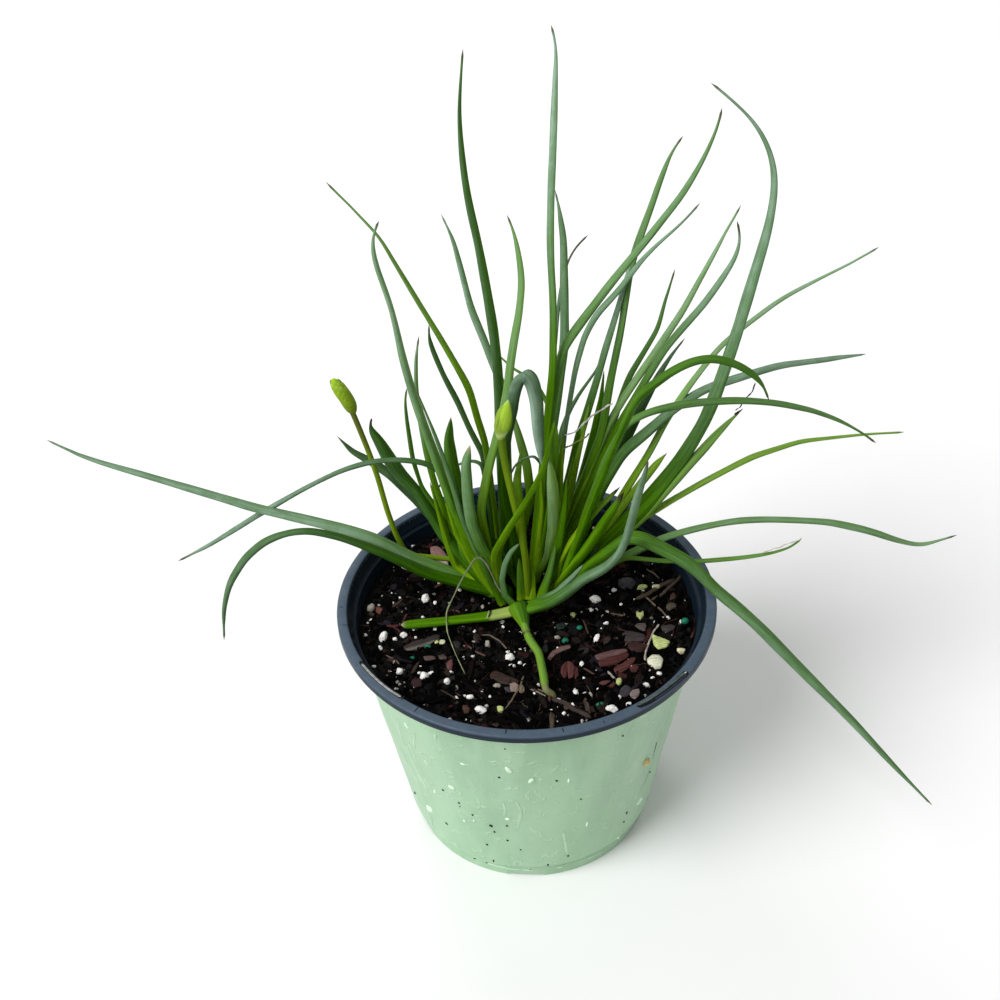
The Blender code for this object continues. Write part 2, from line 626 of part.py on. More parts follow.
def build_mix(parts):
    """The mix: a turned block, trimmed to its lumpy top, with grains and holes for the stems."""
    mix = turned("potting_mix", mix_outline(), POT_SIDES, parts,
                 make_material("black_mix", BLACK_MIX, 0.95))
    top = make_collection("above_mix")
    add_space_above(top)
    boolean(mix, 'DIFFERENCE', top)
    grains = make_collection("grains")
    add_grains(grains)
    boolean(mix, 'UNION', grains)
    spots = [(x, y, radius) for x, y, radius in CROWNS.values()]
    spots += [(*spike["hole"], 0.5 * spike["width"]) for spike in SPIKES.values()]
    spots += [(*FRONT_HOLE, 0.5 * FRONT_STEM_WIDTH)]
    holes = make_collection("stem_holes")
    bottom = SOIL_Z - HOLE_DEPTH - GAP
    for i, (x, y, radius) in enumerate(spots):
        cylinder(f"hole_{i}", radius + MIX_INSET, bottom, SOIL_Z + HOLE_DEPTH, (x, y), holes)
    boolean(mix, 'DIFFERENCE', holes)


def add_space_above(group):
    """All that is above the mix: a grid raised to its height, and closed higher up."""
    cells = round(2.0 * RIM_RADIUS / SOIL_CELL)
    form = bmesh.new()
    bmesh.ops.create_grid(form, x_segments=cells, y_segments=cells, size=RIM_RADIUS)
    for vert in form.verts:
        vert.co.z = soil_height(vert.co.x, vert.co.y)
    skin = bmesh.ops.extrude_face_region(form, geom=list(form.faces))
    for item in skin["geom"]:
        if isinstance(item, bmesh.types.BMVert):
            item.co.z = POT_HEIGHT + HOLE_DEPTH
    bmesh.ops.recalc_face_normals(form, faces=form.faces)
    add_object("above_mix", mesh_of("above_mix", form), group)


def add_grains(group):
    """Scattered grains, clear of the stems and of what lies on the mix."""
    draw = random.Random(GRAIN_SEED)
    while len(group.objects) < GRAIN_COUNT:
        turn = draw.uniform(0.0, 2.0 * math.pi)
        reach = GRAIN_REACH * math.sqrt(draw.random())
        x, y = reach * math.cos(turn), reach * math.sin(turn)
        if not is_free(x, y):
            continue
        form = bmesh.new()
        bmesh.ops.create_icosphere(form, subdivisions=1, radius=draw.uniform(*GRAIN_RADII))
        bmesh.ops.scale(form, vec=(1.0, draw.uniform(0.7, 1.0), 0.75), verts=form.verts)
        spin = Matrix.Rotation(turn, 3, 'Z')
        bmesh.ops.rotate(form, cent=(0, 0, 0), matrix=spin, verts=form.verts)
        bmesh.ops.translate(form, vec=(x, y, soil_height(x, y) + GAP), verts=form.verts)
        add_object("grain", mesh_of("grain", form), group)


def is_free(x, y):
    """True away from the stems, the loose pieces and what lies low over the mix."""
    lying = [at_height(*point) for point in FRONT_STEM + LYING_LEAF + DRY_CURL[:4]]
    if any(math.hypot(x - spot[0], y - spot[1]) < STEM_CLEAR for spot in lying):
        return False
    return all(math.hypot(x - cx, y - cy) > radius + GRAIN_CLEAR for cx, cy, radius in soil_rests())


def join_shoot(core, name, leaves, colour):
    """Union of a shoot's core with all its leaves, as one node."""
    boolean(core, 'UNION', leaves)
    core.data.name = name
    core.data.materials.clear()
    core.data.materials.append(make_material(name + "_leaf", colour, 0.38))


def build_shoot(name, parts):
    """Stem base and leaves of one shoot."""
    x, y, radius = CROWNS[name]
    bottom = SOIL_Z - HOLE_DEPTH
    outline = [(0.0, SOIL_Z + CROWN_RISE + 1.0), (CROWN_NECK * radius, SOIL_Z + CROWN_RISE)]
    outline += [(radius, SOIL_Z + 0.5), (radius, bottom), (0.0, bottom)]
    core = turned(name, outline, HOLE_SIDES, parts)
    core.data.transform(Matrix.Translation((x * MM, y * MM, 0.0)))
    leaves = make_collection(name + "_leaves")
    for leaf, width, depth, pixels in LEAVES[name]:
        path = leaf_path(CROWNS[name], depth, pixels)
        add_object(leaf, blade_mesh(leaf, path, width), leaves)
    join_shoot(core, name, leaves, LEAF_GREEN)


def build_front_shoot(parts):
    """The shoot that lies on the mix: stem, sheath, its leaves and one dried curl."""
    crown = at_height(*SHEATH_TOP)
    rising = [at_height(*point) for point in FRONT_STEM]
    points = [(*FRONT_HOLE, SOIL_Z - HOLE_DEPTH + 3.0), (*FRONT_HOLE, SOIL_Z + 1.5)]
    points += rising + [0.5 * (rising[-1] + crown)]
    stem = stem_mesh("shoot_front", smooth_path(points, FRONT_STEM_RINGS), FRONT_STEM_WIDTH)
    core = add_object("shoot_front", stem, parts)
    leaves = make_collection("front_leaves")
    add_object("sheath", sheath_mesh(rising[-1], crown), leaves)
    for leaf, width, depth, pixels in FRONT_LEAVES:
        points = [crown - (0.0, 0.0, 2.0)] + rising_points(crown, depth, pixels)
        path = smooth_path(points, FRONT_LEAF_RINGS)
        add_object(leaf, blade_mesh(leaf, path, width), leaves)
    lying = (("lying_leaf", LYING_LEAF_WIDTH, LYING_LEAF), ("dry_curl", DRY_CURL_WIDTH, DRY_CURL))
    for leaf, width, route in lying:
        points = [crown - (0.0, 0.0, 1.5)] + [at_height(*point) for point in reversed(route)]
        path = smooth_path(points, FRONT_STEM_RINGS)
        add_object(leaf, blade_mesh(leaf, path, width), leaves)
    join_shoot(core, "shoot_front", leaves, LEAF_GREY)


def sheath_mesh(joint, top):
    """The sheath opens from the stem's joint to the leaves' roots, and closes just past them."""
    axis = (top - joint) / np.linalg.norm(top - joint)
    across = np.cross(axis, [0.0, 0.0, 1.0])
    across /= np.linalg.norm(across)
    upper = np.cross(across, axis)
    path = resample(np.array([joint, top + 0.12 * (top - joint)]), SHEATH_RINGS + 1)
    widths = np.linspace(FRONT_STEM_WIDTH, SHEATH_WIDTH, SHEATH_RINGS)
    turns = 2.0 * math.pi * np.arange(SHEATH_SIDES) / SHEATH_SIDES
    form = bmesh.new()
    rings = []
    for place, wide in zip(path[:-1], widths):
        round_it = [across * math.cos(t) + 0.8 * upper * math.sin(t) for t in turns]
        rings.append([form.verts.new(place + 0.5 * wide * out) for out in round_it])
    join_rings(form, rings, path[-1])
    return mesh_of("sheath", form)


def build_spike(name, parts):
    """A flower spike: a round stem out of its hole, and a head of close buds or one in its sheath."""
    spec = SPIKES[name]
    hole = np.array([*spec["hole"], SOIL_Z])
    foot = [hole - (0.0, 0.0, HOLE_DEPTH), hole, hole + (0.0, 0.0, SPIKE_FOOT)]
    rising = rising_points(hole, spec["depth"], spec["stem"])
    tip = at_depth(*spec["head"], spec["depth"])
    path = smooth_path(foot + rising + [0.6 * rising[-1] + 0.4 * tip], SPIKE_RINGS)
    core = add_object(name, stem_mesh(name, path, spec["width"]), parts)
    buds = make_collection(name + "_buds")
    add_head(rising[-1], tip, spec, buds)
    boolean(core, 'UNION', buds)
    core.data.materials.clear()
    core.data.materials.append(make_material(name + "_green", SCAPE_GREEN, 0.45))


def add_head(base, tip, spec, group):
    """An egg-shaped core, and any buds set round it by the golden angle, pointing to the tip."""
    width = spec["head_width"]
    axis = Vector(tip - base)
    length = axis.length
    place = Matrix.Translation(Vector(base)) @ axis.to_track_quat('Z', 'Y').to_matrix().to_4x4()
    core = bmesh.new()
    bmesh.ops.create_uvsphere(core, u_segments=8, v_segments=6, radius=0.5)
    girth = spec["core_share"] * width
    bmesh.ops.scale(core, vec=(girth, girth, 0.98 * length), verts=core.verts)
    bmesh.ops.translate(core, vec=(0.0, 0.0, 0.5 * length), verts=core.verts)
    core.transform(place)
    add_object("head_core", mesh_of("head_core", core), group)
    for i in range(spec["buds"]):
        rise = (i + 0.6) / spec["buds"]
        reach = 0.36 * width * math.sin(math.pi * (0.12 + 0.83 * rise)) ** 0.6
        size = width * (0.34 - 0.12 * rise)
        bud = bmesh.new()
        bmesh.ops.create_icosphere(bud, subdivisions=1, radius=0.5)
        bmesh.ops.scale(bud, vec=(size, size, 1.9 * size), verts=bud.verts)
        lean = Matrix.Rotation(BUD_LEAN, 4, 'Y')
        out = Matrix.Translation((reach, 0.0, length * (0.08 + 0.82 * rise)))
        spin = Matrix.Rotation(i * GOLDEN_ANGLE, 4, 'Z')
        bud.transform(place @ spin @ out @ lean)
        add_object("bud", mesh_of("bud", bud), group)


def build_chip(name, parts):
    """A loose chip: a tapered slab with skewed corners, flat on the mix."""
    px, py, length, width, thick, turn, colour = CHIPS[name]
    spot = at_height(px, py, SOIL_Z + GAP + thick)
    form = bmesh.new()
    bmesh.ops.create_cone(form, cap_ends=True, segments=7, radius1=0.5, radius2=0.38, depth=1.0)
    bmesh.ops.scale(form, vec=(length, width, thick), verts=form.verts)
    for i, vert in enumerate(form.verts):
        vert.co.x += 0.07 * length * math.sin(2.3 * i)
        vert.co.y += 0.06 * width * math.cos(3.1 * i)
    spin = Matrix.Rotation(math.radians(turn), 3, 'Z')
    bmesh.ops.rotate(form, cent=(0, 0, 0), matrix=spin, verts=form.verts)
    centre = (spot[0], spot[1], spot[2] - 0.5 * thick)
    bmesh.ops.translate(form, vec=centre, verts=form.verts)
    bmesh.ops.recalc_face_normals(form, faces=form.faces)
    add_object(name, mesh_of(name, form), parts, make_material(name + "_bark", colour, 0.8))


def build_stick(name, parts):
    """A loose stick or twig that lies on the mix."""
    pixels, width, colour = STICKS[name]
    points = [at_height(px, py, SOIL_Z + GAP + 0.5 * width) for px, py in pixels]
    mesh = stem_mesh(name, smooth_path(points, FRONT_STEM_RINGS), width)
    add_object(name, mesh, parts, make_material(name + "_bark", colour, 0.8))


def main():
    clear_scene()
    parts = make_collection("potted_bulbine")
    build_pot(parts)
    build_mix(parts)
    for name in CROWNS:
        build_shoot(name, parts)
    build_front_shoot(parts)
    for name in SPIKES:
        build_spike(name, parts)
    for name in CHIPS:
        build_chip(name, parts)
    for name in STICKS:
        build_stick(name, parts)
    for made in parts.objects:
        made.data.shade_smooth()
        made.data.set_sharp_from_angle(angle=SMOOTH_ANGLE)


main()
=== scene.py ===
"""Potted bulbine: the looks of the clump, its pot and its potting mix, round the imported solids.

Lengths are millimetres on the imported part's axes. new_piece puts them in metres.
"""
import json
import math

import bpy
import numpy as np
from mathutils import Matrix, Vector

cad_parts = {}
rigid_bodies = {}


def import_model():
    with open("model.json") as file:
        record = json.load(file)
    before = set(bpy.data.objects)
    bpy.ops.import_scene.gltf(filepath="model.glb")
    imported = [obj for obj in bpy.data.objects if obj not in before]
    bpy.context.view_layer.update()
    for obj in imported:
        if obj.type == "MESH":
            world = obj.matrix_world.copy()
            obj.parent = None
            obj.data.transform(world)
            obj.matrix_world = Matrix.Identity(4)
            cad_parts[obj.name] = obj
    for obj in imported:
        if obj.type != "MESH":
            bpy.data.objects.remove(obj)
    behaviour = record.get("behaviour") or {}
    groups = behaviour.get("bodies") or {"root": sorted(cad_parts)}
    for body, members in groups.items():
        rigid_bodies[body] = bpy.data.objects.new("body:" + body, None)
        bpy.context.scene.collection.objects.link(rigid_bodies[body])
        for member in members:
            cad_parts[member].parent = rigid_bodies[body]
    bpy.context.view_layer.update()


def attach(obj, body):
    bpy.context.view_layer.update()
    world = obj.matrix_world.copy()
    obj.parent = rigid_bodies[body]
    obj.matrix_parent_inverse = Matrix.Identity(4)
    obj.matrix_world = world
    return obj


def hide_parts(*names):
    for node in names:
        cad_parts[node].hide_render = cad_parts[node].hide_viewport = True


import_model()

# The photograph's view: from in front and above, rolled a little, through a normal lens.
# Each leaf, chip and grain is placed along its rays, by pixel and by depth or height.
MM = 0.001
IMAGE_SIZE = 1000.0
VIEW_FOCAL = 1400.0
VIEW_TILT = math.radians(37.9)
VIEW_ROLL = math.radians(-2.4)
VIEW_EYE = np.array([-9.3, -441.9, 513.9])
LEVEL_UP = np.array([0.0, math.sin(VIEW_TILT), math.cos(VIEW_TILT)])
LEVEL_RIGHT = np.array([1.0, 0.0, 0.0])
AHEAD = np.array([0.0, math.cos(VIEW_TILT), -math.sin(VIEW_TILT)])
RIGHT = LEVEL_RIGHT * math.cos(VIEW_ROLL) + LEVEL_UP * math.sin(VIEW_ROLL)
UP = LEVEL_UP * math.cos(VIEW_ROLL) - LEVEL_RIGHT * math.sin(VIEW_ROLL)


def rays(pixels):
    """Directions from the eye: ahead + right·(px - centre)/focal + up·(centre - py)/focal."""
    off = (np.atleast_2d(pixels).astype(float) - 0.5 * IMAGE_SIZE) / VIEW_FOCAL
    return AHEAD + RIGHT * off[:, :1] - UP * off[:, 1:2]


def at_depth(pixels, depths):
    """Points seen at the pixels whose Y is the depth: eye + ray·(depth - eye Y)/(ray Y)."""
    along = rays(pixels)
    return VIEW_EYE + along * ((depths - VIEW_EYE[1]) / along[:, 1])[:, None]


def at_height(pixels, heights):
    """Points seen at the pixels whose Z is the height: eye + ray·(height - eye Z)/(ray Z)."""
    along = rays(pixels)
    return VIEW_EYE + along * ((heights - VIEW_EYE[2]) / along[:, 2])[:, None]


def pixels_of(points):
    """Where the view shows points: their offsets right and up of the axis, over their distance."""
    off = np.atleast_2d(points) - VIEW_EYE
    scale = VIEW_FOCAL / (off @ AHEAD)
    return 0.5 * IMAGE_SIZE + np.column_stack([off @ RIGHT, -(off @ UP)]) * scale[:, None]


def show(thing):
    """Puts an object in the scene."""
    bpy.context.scene.collection.objects.link(thing)
    return thing


lens = bpy.data.cameras.new("photo_view")
lens.sensor_width = 36.0
lens.lens = lens.sensor_width * VIEW_FOCAL / IMAGE_SIZE
camera = show(bpy.data.objects.new("photo_view", lens))
turn = Matrix(np.column_stack([RIGHT, UP, -AHEAD]).tolist()).to_4x4()
camera.matrix_world = Matrix.Translation(VIEW_EYE * MM) @ turn
bpy.context.scene.camera = camera
bpy.context.scene.view_settings.view_transform = 'Standard'

# The pot's outer skin: mint plastic of one thermoformed sheet, from under the lip down the
# tapering wall and rounded heel to the foot ring and the raised base.
POT_HEIGHT = 118.0
RIM_RADIUS = 80.0
RIM_FLAT = 4.3
LIP_DROP = 3.5
LIP_WALL = 1.3
WALL = 1.2
SKIN = 0.6
LEDGE_DROP = 5.2
WALL_TOP_RADIUS = 75.4
WALL_BENDS = ((111.8, 73.7), (78.0, 67.9), (38.0, 61.2), (18.0, 58.0))
HEEL_RADIUS = 7.0
HEEL_CENTRE = (50.0, 12.0)
FOOT_HEIGHT = 5.0
FOOT_RADIUS = 54.2
FOOT_WALL = 1.9
BASE_RISE = 2.6
BASE_START = 0.5
ARCH_COUNT = 6
ARCH_WIDTH = 17.0
ARCH_RISE = 1.8
ARCH_REACH = 6.0
FIRST_ARCH = math.radians(-95.0)
DRAIN_COUNT = 6
DRAIN_RADIUS = 4.0
DRAIN_REACH = 10.0
DRAIN_RING = 38.0
DRUM_SIDES = 40
SKIN_SIDES = 420
EDGE_DEG = 40.0


def put(tree, kind, inputs=(), **settings):
    """A shader node, with (socket, value) inputs; a value may be another node's output."""
    made = tree.nodes.new("ShaderNode" + kind)
    for name, value in settings.items():
        setattr(made, name, value)
    for socket, value in inputs:
        if isinstance(value, bpy.types.NodeSocket):
            tree.links.new(value, made.inputs[socket])
        else:
            made.inputs[socket].default_value = value
    return made


def noise_group(name, more_inputs, output, detail, roughness):
    """A node group round a noise, with its input and output sockets and the noise's output.

    It takes a vector, a scale and the further inputs, and gives one output.
    """
    group = bpy.data.node_groups.new(name, 'ShaderNodeTree')
    for label, kind in (("Vector", "Vector"), ("Scale", "Float"), *more_inputs):
        group.interface.new_socket(label, in_out='INPUT', socket_type="NodeSocket" + kind)
    group.interface.new_socket(output[0], in_out='OUTPUT', socket_type="NodeSocket" + output[1])
    inner = group.nodes.new("NodeGroupInput").outputs
    cloud = put(group, "TexNoise", [("Vector", inner["Vector"]), ("Scale", inner["Scale"]),
                                    ("Detail", detail), ("Roughness", roughness)])
    return group, inner, group.nodes.new("NodeGroupOutput").inputs, cloud.outputs["Fac"]


def place_group(tree, group, inputs):
    """A copy of a node group in a material, with its inputs."""
    return put(tree, "Group", inputs, node_tree=group)


def new_material(name, **sockets):
    """A Principled material with its constant values set on the shader's own sockets."""
    material = bpy.data.materials.new(name)
    material.use_nodes = True
    tree = material.node_tree
    shader = tree.nodes["Principled BSDF"]
    for socket, value in sockets.items():
        shader.inputs[socket.replace("_", " ")].default_value = value
    return material, tree, shader


def blend_colours(tree, share, first, second, blend='MIX'):
    """The colour output of a mix: first where the share is 0, second where it is 1."""
    inputs = [(0, share), (6, first), (7, second)]
    return put(tree, "Mix", inputs, data_type='RGBA', blend_type=blend).outputs[2]


def ramp(tree, value, low, high, bottom=0.0, top=1.0):
    """A smooth step: bottom up to low, top from high on."""
    made = put(tree, "MapRange", [("Value", value), ("From Min", low), ("From Max", high),
                                  ("To Min", bottom), ("To Max", top)],
               interpolation_type='SMOOTHSTEP')
    return made.outputs["Result"]


def reckon(tree, operation, first, second):
    """The output of a Math node on two values."""
    return put(tree, "Math", [(0, first), (1, second)], operation=operation).outputs["Value"]


def strip_faces(rows, columns):
    """Quads between neighbouring rows of points, whose columns close on themselves."""
    row = np.arange(rows - 1)[:, None] * columns
    here = np.arange(columns)[None, :]
    beside = (here + 1) % columns
    quads = np.stack([row + here, row + beside, row + columns + beside, row + columns + here], -1)
    return quads.reshape(-1, 4)


def closed_sleeve(rings):
    """A sleeve of rings, closed at both ends by a fan to the end ring's middle."""
    count, sides = rings.shape[:2]
    points = np.concatenate([rings.reshape(-1, 3), rings[[0, -1]].mean(axis=1)])
    around = np.arange(sides)
    beside = (around + 1) % sides
    last = (count - 1) * sides
    near = np.column_stack([beside, around, np.full(sides, count * sides)])
    far = np.column_stack([last + around, last + beside, np.full(sides, count * sides + 1)])
    return points, [strip_faces(count, sides), np.concatenate([near, far])]


def volume_of(points, faces):
    """Signed volume of the fans of faces: a sixth of the sum of corner · (corner x corner)."""
    total = 0.0
    for corners in faces:
        first = points[corners[:, 0]]
        for k in range(1, corners.shape[1] - 1):
            spread = np.cross(points[corners[:, k]], points[corners[:, k + 1]])
            total += (first * spread).sum() / 6.0
    return total


def mesh_object(name, points, faces):
    """An object with a mesh from points in millimetres and arrays of faces.

    The faces are turned over if they enclose a negative volume, so that they point outwards.
    """
    if volume_of(points, faces) < 0.0:
        faces = [corners[:, ::-1] for corners in faces]
    sizes = np.concatenate([np.full(len(corners), corners.shape[1]) for corners in faces])
    mesh = bpy.data.meshes.new(name)
    mesh.vertices.add(len(points))
    mesh.vertices.foreach_set("co", (points * MM).astype(np.float32).ravel())
    mesh.loops.add(int(sizes.sum()))
    mesh.loops.foreach_set("vertex_index", np.concatenate([c.ravel() for c in faces]).astype(np.int32))
    mesh.polygons.add(len(sizes))
    mesh.polygons.foreach_set("loop_start", (np.cumsum(sizes) - sizes).astype(np.int32))
    mesh.update(calc_edges=True)
    mesh.validate()
    return show(bpy.data.objects.new(name, mesh))


def new_piece(name, points, faces, material, marks=(), sharp_deg=180.0):
    """A piece that rides on the pot's body, with its material and shading.

    Marks are (name, values) pairs: one number or three for each point, for the material.
    """
    piece = mesh_object(name, points, faces)
    for mark, values in marks:
        kind, field = ('FLOAT', "value") if values.ndim == 1 else ('FLOAT_VECTOR', "vector")
        held = piece.data.attributes.new(mark, kind, 'POINT')
        held.data.foreach_set(field, values.astype(np.float32).ravel())
    piece.data.materials.append(material)
    piece.data.shade_smooth()
    if sharp_deg < 180.0:
        piece.data.set_sharp_from_angle(angle=math.radians(sharp_deg))
    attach(piece, "root")
    return piece


def heading_of(turn_deg):
    """The (cos, sin) of an angle in degrees."""
    return np.array([math.cos(math.radians(turn_deg)), math.sin(math.radians(turn_deg))])


def arc_points(centre, radius, start_deg, end_deg, count):
    """Points on an arc: centre + radius·(cos, sin) of evenly spaced angles."""
    turns = np.radians(np.linspace(start_deg, end_deg, count))
    return np.column_stack([centre[0] + radius * np.cos(turns), centre[1] + radius * np.sin(turns)])


def between(wanted, measure, points):
    """Points at the wanted measures along a path, each axis interpolated by itself."""
    return np.column_stack([np.interp(wanted, measure, column) for column in points.T])


def along_profile(points, spacing):
    """A profile's corners with further points between them, no more than the spacing apart."""
    points = np.asarray(points, float)
    steps = np.ceil(np.linalg.norm(np.diff(points, axis=0), axis=1) / spacing).astype(int)
    measure = np.concatenate(([0], np.cumsum(np.maximum(steps, 1))))
    return between(np.arange(measure[-1] + 1), measure, points)


def even_turns(count):
    """Evenly spaced angles round a circle."""
    return 2.0 * math.pi * np.arange(count) / count


def unit(vectors):
    """Vectors divided by their lengths."""
    return vectors / np.linalg.norm(vectors, axis=-1, keepdims=True)


def turned_rings(profile, sides):
    """A surface of revolution: x = r·cos t, y = r·sin t, z = height, for t round the axis."""
    turns = even_turns(sides)
    radius, height = profile[:, :1], profile[:, 1:]
    return np.stack([radius * np.cos(turns), radius * np.sin(turns), height + 0.0 * turns], -1)


def wall_radius(heights):
    """Outer radius of the wall, straight between its bends, and of the round heel under it."""
    bends = np.array([*WALL_BENDS, (HEEL_CENTRE[1], HEEL_CENTRE[0] + HEEL_RADIUS)])[::-1]
    drop = np.clip(HEEL_CENTRE[1] - heights, 0.0, HEEL_RADIUS)
    rounding = HEEL_RADIUS - np.sqrt(HEEL_RADIUS ** 2 - drop ** 2)
    return np.interp(heights, bends[:, 0], bends[:, 1]) - rounding


def waves(points, span, count, seed):
    """Smooth unevenness within about ±1: a mean of cosines of random direction and phase."""
    draw = np.random.default_rng(seed)
    ways = unit(draw.normal(size=(count, points.shape[-1])))
    ways *= 2.0 * math.pi / (span * draw.uniform(0.7, 1.4, size=(count, 1)))
    phases = draw.uniform(0.0, 2.0 * math.pi, count)
    return np.cos(points @ ways.T + phases).sum(axis=-1) / math.sqrt(count)


def wall_uneven(points):
    """The wall's unevenness: 0.14 of waves that span 26 mm, and 0.03 of waves that span 8 mm."""
    return 0.14 * waves(points, 26.0, 12, 5) + 0.03 * waves(points, 8.0, 16, 6)


def drum(wide, deep, bottom, top):
    """A closed drum along Z with an elliptic section of two half widths."""
    profile = np.array([(1.0, bottom), (1.0, top)])
    return closed_sleeve(turned_rings(profile, DRUM_SIDES) * (wide, deep, 1.0))


def cut_base(piece):
    """Cuts the foot's arches and the drain holes out of a pot layer, with one Boolean.

    An arch is a flat drum that lies along its radius, and a drain is an upright drum.
    """
    tools = bpy.data.collections.new(piece.name + "_cutters")
    bpy.context.scene.collection.children.link(tools)
    for i in range(ARCH_COUNT + DRAIN_COUNT):
        if i < ARCH_COUNT:
            turn_by = FIRST_ARCH + 2.0 * math.pi * i / ARCH_COUNT
            points, faces = drum(ARCH_RISE, 0.5 * ARCH_WIDTH, FOOT_RADIUS - ARCH_REACH,
                                 FOOT_RADIUS + ARCH_REACH)
            out, across, up = points[:, 2], points[:, 1], points[:, 0]
        else:
            turn_by = 2.0 * math.pi * (i + 0.5) / DRAIN_COUNT
            points, faces = drum(DRAIN_RADIUS, DRAIN_RADIUS, -DRAIN_REACH, DRAIN_REACH)
            out, across, up = points[:, 0] + DRAIN_RING, points[:, 1], points[:, 2]
        sine, cosine = math.sin(turn_by), math.cos(turn_by)
        turned = np.column_stack([out * cosine - across * sine, out * sine + across * cosine, up])
        cutter = mesh_object("cutter", turned, faces)
        bpy.context.scene.collection.objects.unlink(cutter)
        tools.objects.link(cutter)
    step = piece.modifiers.new("openings", 'BOOLEAN')
    step.operation = 'DIFFERENCE'
    step.solver = 'MANIFOLD'
    step.operand_type = 'COLLECTION'
    step.collection = tools
    graph = bpy.context.evaluated_depsgraph_get()
    piece.data = bpy.data.meshes.new_from_object(piece.evaluated_get(graph))
    piece.modifiers.clear()
    piece.data.set_sharp_from_angle(angle=math.radians(EDGE_DEG))
    for used in list(tools.objects):
        bpy.data.objects.remove(used, do_unlink=True)
    bpy.data.collections.remove(tools)


def own_coords(tree):
    """The object's own coordinates, in metres."""
    return put(tree, "TexCoord").outputs["Object"]


def stretched(tree, vector, scale):
    """A vector scaled on each axis; a small scale draws the pattern out along that axis."""
    return put(tree, "Mapping", [("Vector", vector), ("Scale", scale)]).outputs["Vector"]


def noise(tree, vector, scale, detail, output="Fac"):
    """An output of a noise over a vector."""
    return put(tree, "TexNoise", [("Vector", vector), ("Scale", scale), ("Detail", detail)]).outputs[output]


mottle, inner, outer, cloud = noise_group("mottle", (), ("Mask", "Float"), 4.0, 0.6)
mottle.links.new(ramp(mottle, cloud, 0.35, 0.65), outer["Mask"])


def mottled(tree, vector, scale):
    """The mottle's mask, from 0 to 1, over a vector at a scale."""
    return place_group(tree, mottle, [("Vector", vector), ("Scale", scale)]).outputs["Mask"]


def finish_skin(tree, shader, colour, mask, smoother, rougher):
    """Links a colour to the shader, and a roughness that runs between two values by a mask."""
    tree.links.new(colour, shader.inputs["Base Color"])
    tree.links.new(ramp(tree, mask, 0.0, 1.0, smoother, rougher), shader.inputs["Roughness"])


mint, tree, shader = new_material("mint_plastic", Specular_IOR_Level=0.30)
coords = own_coords(tree)
# Soft vertical streaks of lighter mint: a painted sheen.
painted_sheen_streaks = mottled(tree, stretched(tree, coords, (1.0, 1.0, 0.22)), 60.0)
blotches = mottled(tree, coords, 26.0)
# Small rings over the wall: they swell the surface as relief, and their paler mint is a painted highlight.
drift = put(tree, "VectorMath", [(0, noise(tree, coords, 80.0, 2.0, "Color")), (1, (0.016, 0.016, 0.016))],
            operation='MULTIPLY')
bent = put(tree, "VectorMath", [(0, drift.outputs["Vector"]), (1, coords)], operation='ADD')
cells = put(tree, "TexVoronoi", [("Vector", bent.outputs["Vector"]), ("Scale", 135.0)])
cells = cells.outputs["Distance"]
rings_seen = reckon(tree, 'SUBTRACT', ramp(tree, cells, 0.26, 0.36), ramp(tree, cells, 0.38, 0.50))
some = reckon(tree, 'MULTIPLY', ramp(tree, mottled(tree, coords, 95.0), 0.20, 0.70),
              ramp(tree, noise(tree, coords, 200.0, 1.0), 0.42, 0.56))
ripples_and_painted_highlights = reckon(tree, 'MULTIPLY', rings_seen, some)
colour = blend_colours(tree, painted_sheen_streaks, (0.292, 0.470, 0.300, 1.0), (0.352, 0.545, 0.357, 1.0))
colour = blend_colours(tree, ramp(tree, blotches, 0.3, 1.0, 0.0, 0.35), colour,
                       (0.375, 0.575, 0.375, 1.0))
colour = blend_colours(tree, ramp(tree, ripples_and_painted_highlights, 0.0, 1.0, 0.0, 0.42), colour, (0.46, 0.67, 0.46, 1.0))
finish_skin(tree, shader, colour, blotches, 0.30, 0.45)
fine = noise(tree, coords, 240.0, 2.0)
raised = reckon(tree, 'ADD', ripples_and_painted_highlights, reckon(tree, 'MULTIPLY', fine, 0.45))
swell = put(tree, "Bump", [("Height", raised), ("Strength", 0.46), ("Distance", 0.0005)])
tree.links.new(swell.outputs["Normal"], shader.inputs["Normal"])

under_flat = POT_HEIGHT - WALL
outside = [(WALL_TOP_RADIUS + 0.5, under_flat), (WALL_TOP_RADIUS, POT_HEIGHT - LEDGE_DROP - 0.5)]
outside += [(radius, height) for height, radius in WALL_BENDS]
outside = np.concatenate([along_profile(outside, 1.0),
                          along_profile(arc_points(HEEL_CENTRE, HEEL_RADIUS, 0.0, -48.0, 12), 1.0)])
foot = along_profile([(FOOT_RADIUS + 0.62, 6.4), (FOOT_RADIUS + 0.78, 6.0), (FOOT_RADIUS + 0.62, 5.6),
                      (FOOT_RADIUS + 0.2, FOOT_HEIGHT), (FOOT_RADIUS, 0.3), (FOOT_RADIUS - 0.3, 0.0),
                      (FOOT_RADIUS - FOOT_WALL, 0.0), (FOOT_RADIUS - FOOT_WALL - 0.4, BASE_RISE)], 1.2)
base = along_profile([(FOOT_RADIUS - FOOT_WALL - 1.4, BASE_RISE), (BASE_START, BASE_RISE)], 12.0)
floor_up = [(BASE_START, BASE_RISE + SKIN), (HEEL_CENTRE[0] - 2.0, BASE_RISE + SKIN)]
heel_up = arc_points(HEEL_CENTRE, HEEL_RADIUS - SKIN, -60.0, 0.0, 5)
wall_up = [(radius - SKIN, height) for height, radius in WALL_BENDS[::-1]]
wall_up += [(WALL_TOP_RADIUS - SKIN, POT_HEIGHT - LEDGE_DROP), (WALL_TOP_RADIUS - 0.1, under_flat)]
skin_profile = np.concatenate([floor_up, heel_up, wall_up, outside, foot, base])
rings = turned_rings(skin_profile, SKIN_SIDES)
on_wall = np.zeros(len(skin_profile))
first_row = len(floor_up) + len(heel_up) + len(wall_up)
on_wall[first_row:first_row + len(outside)] = 1.0
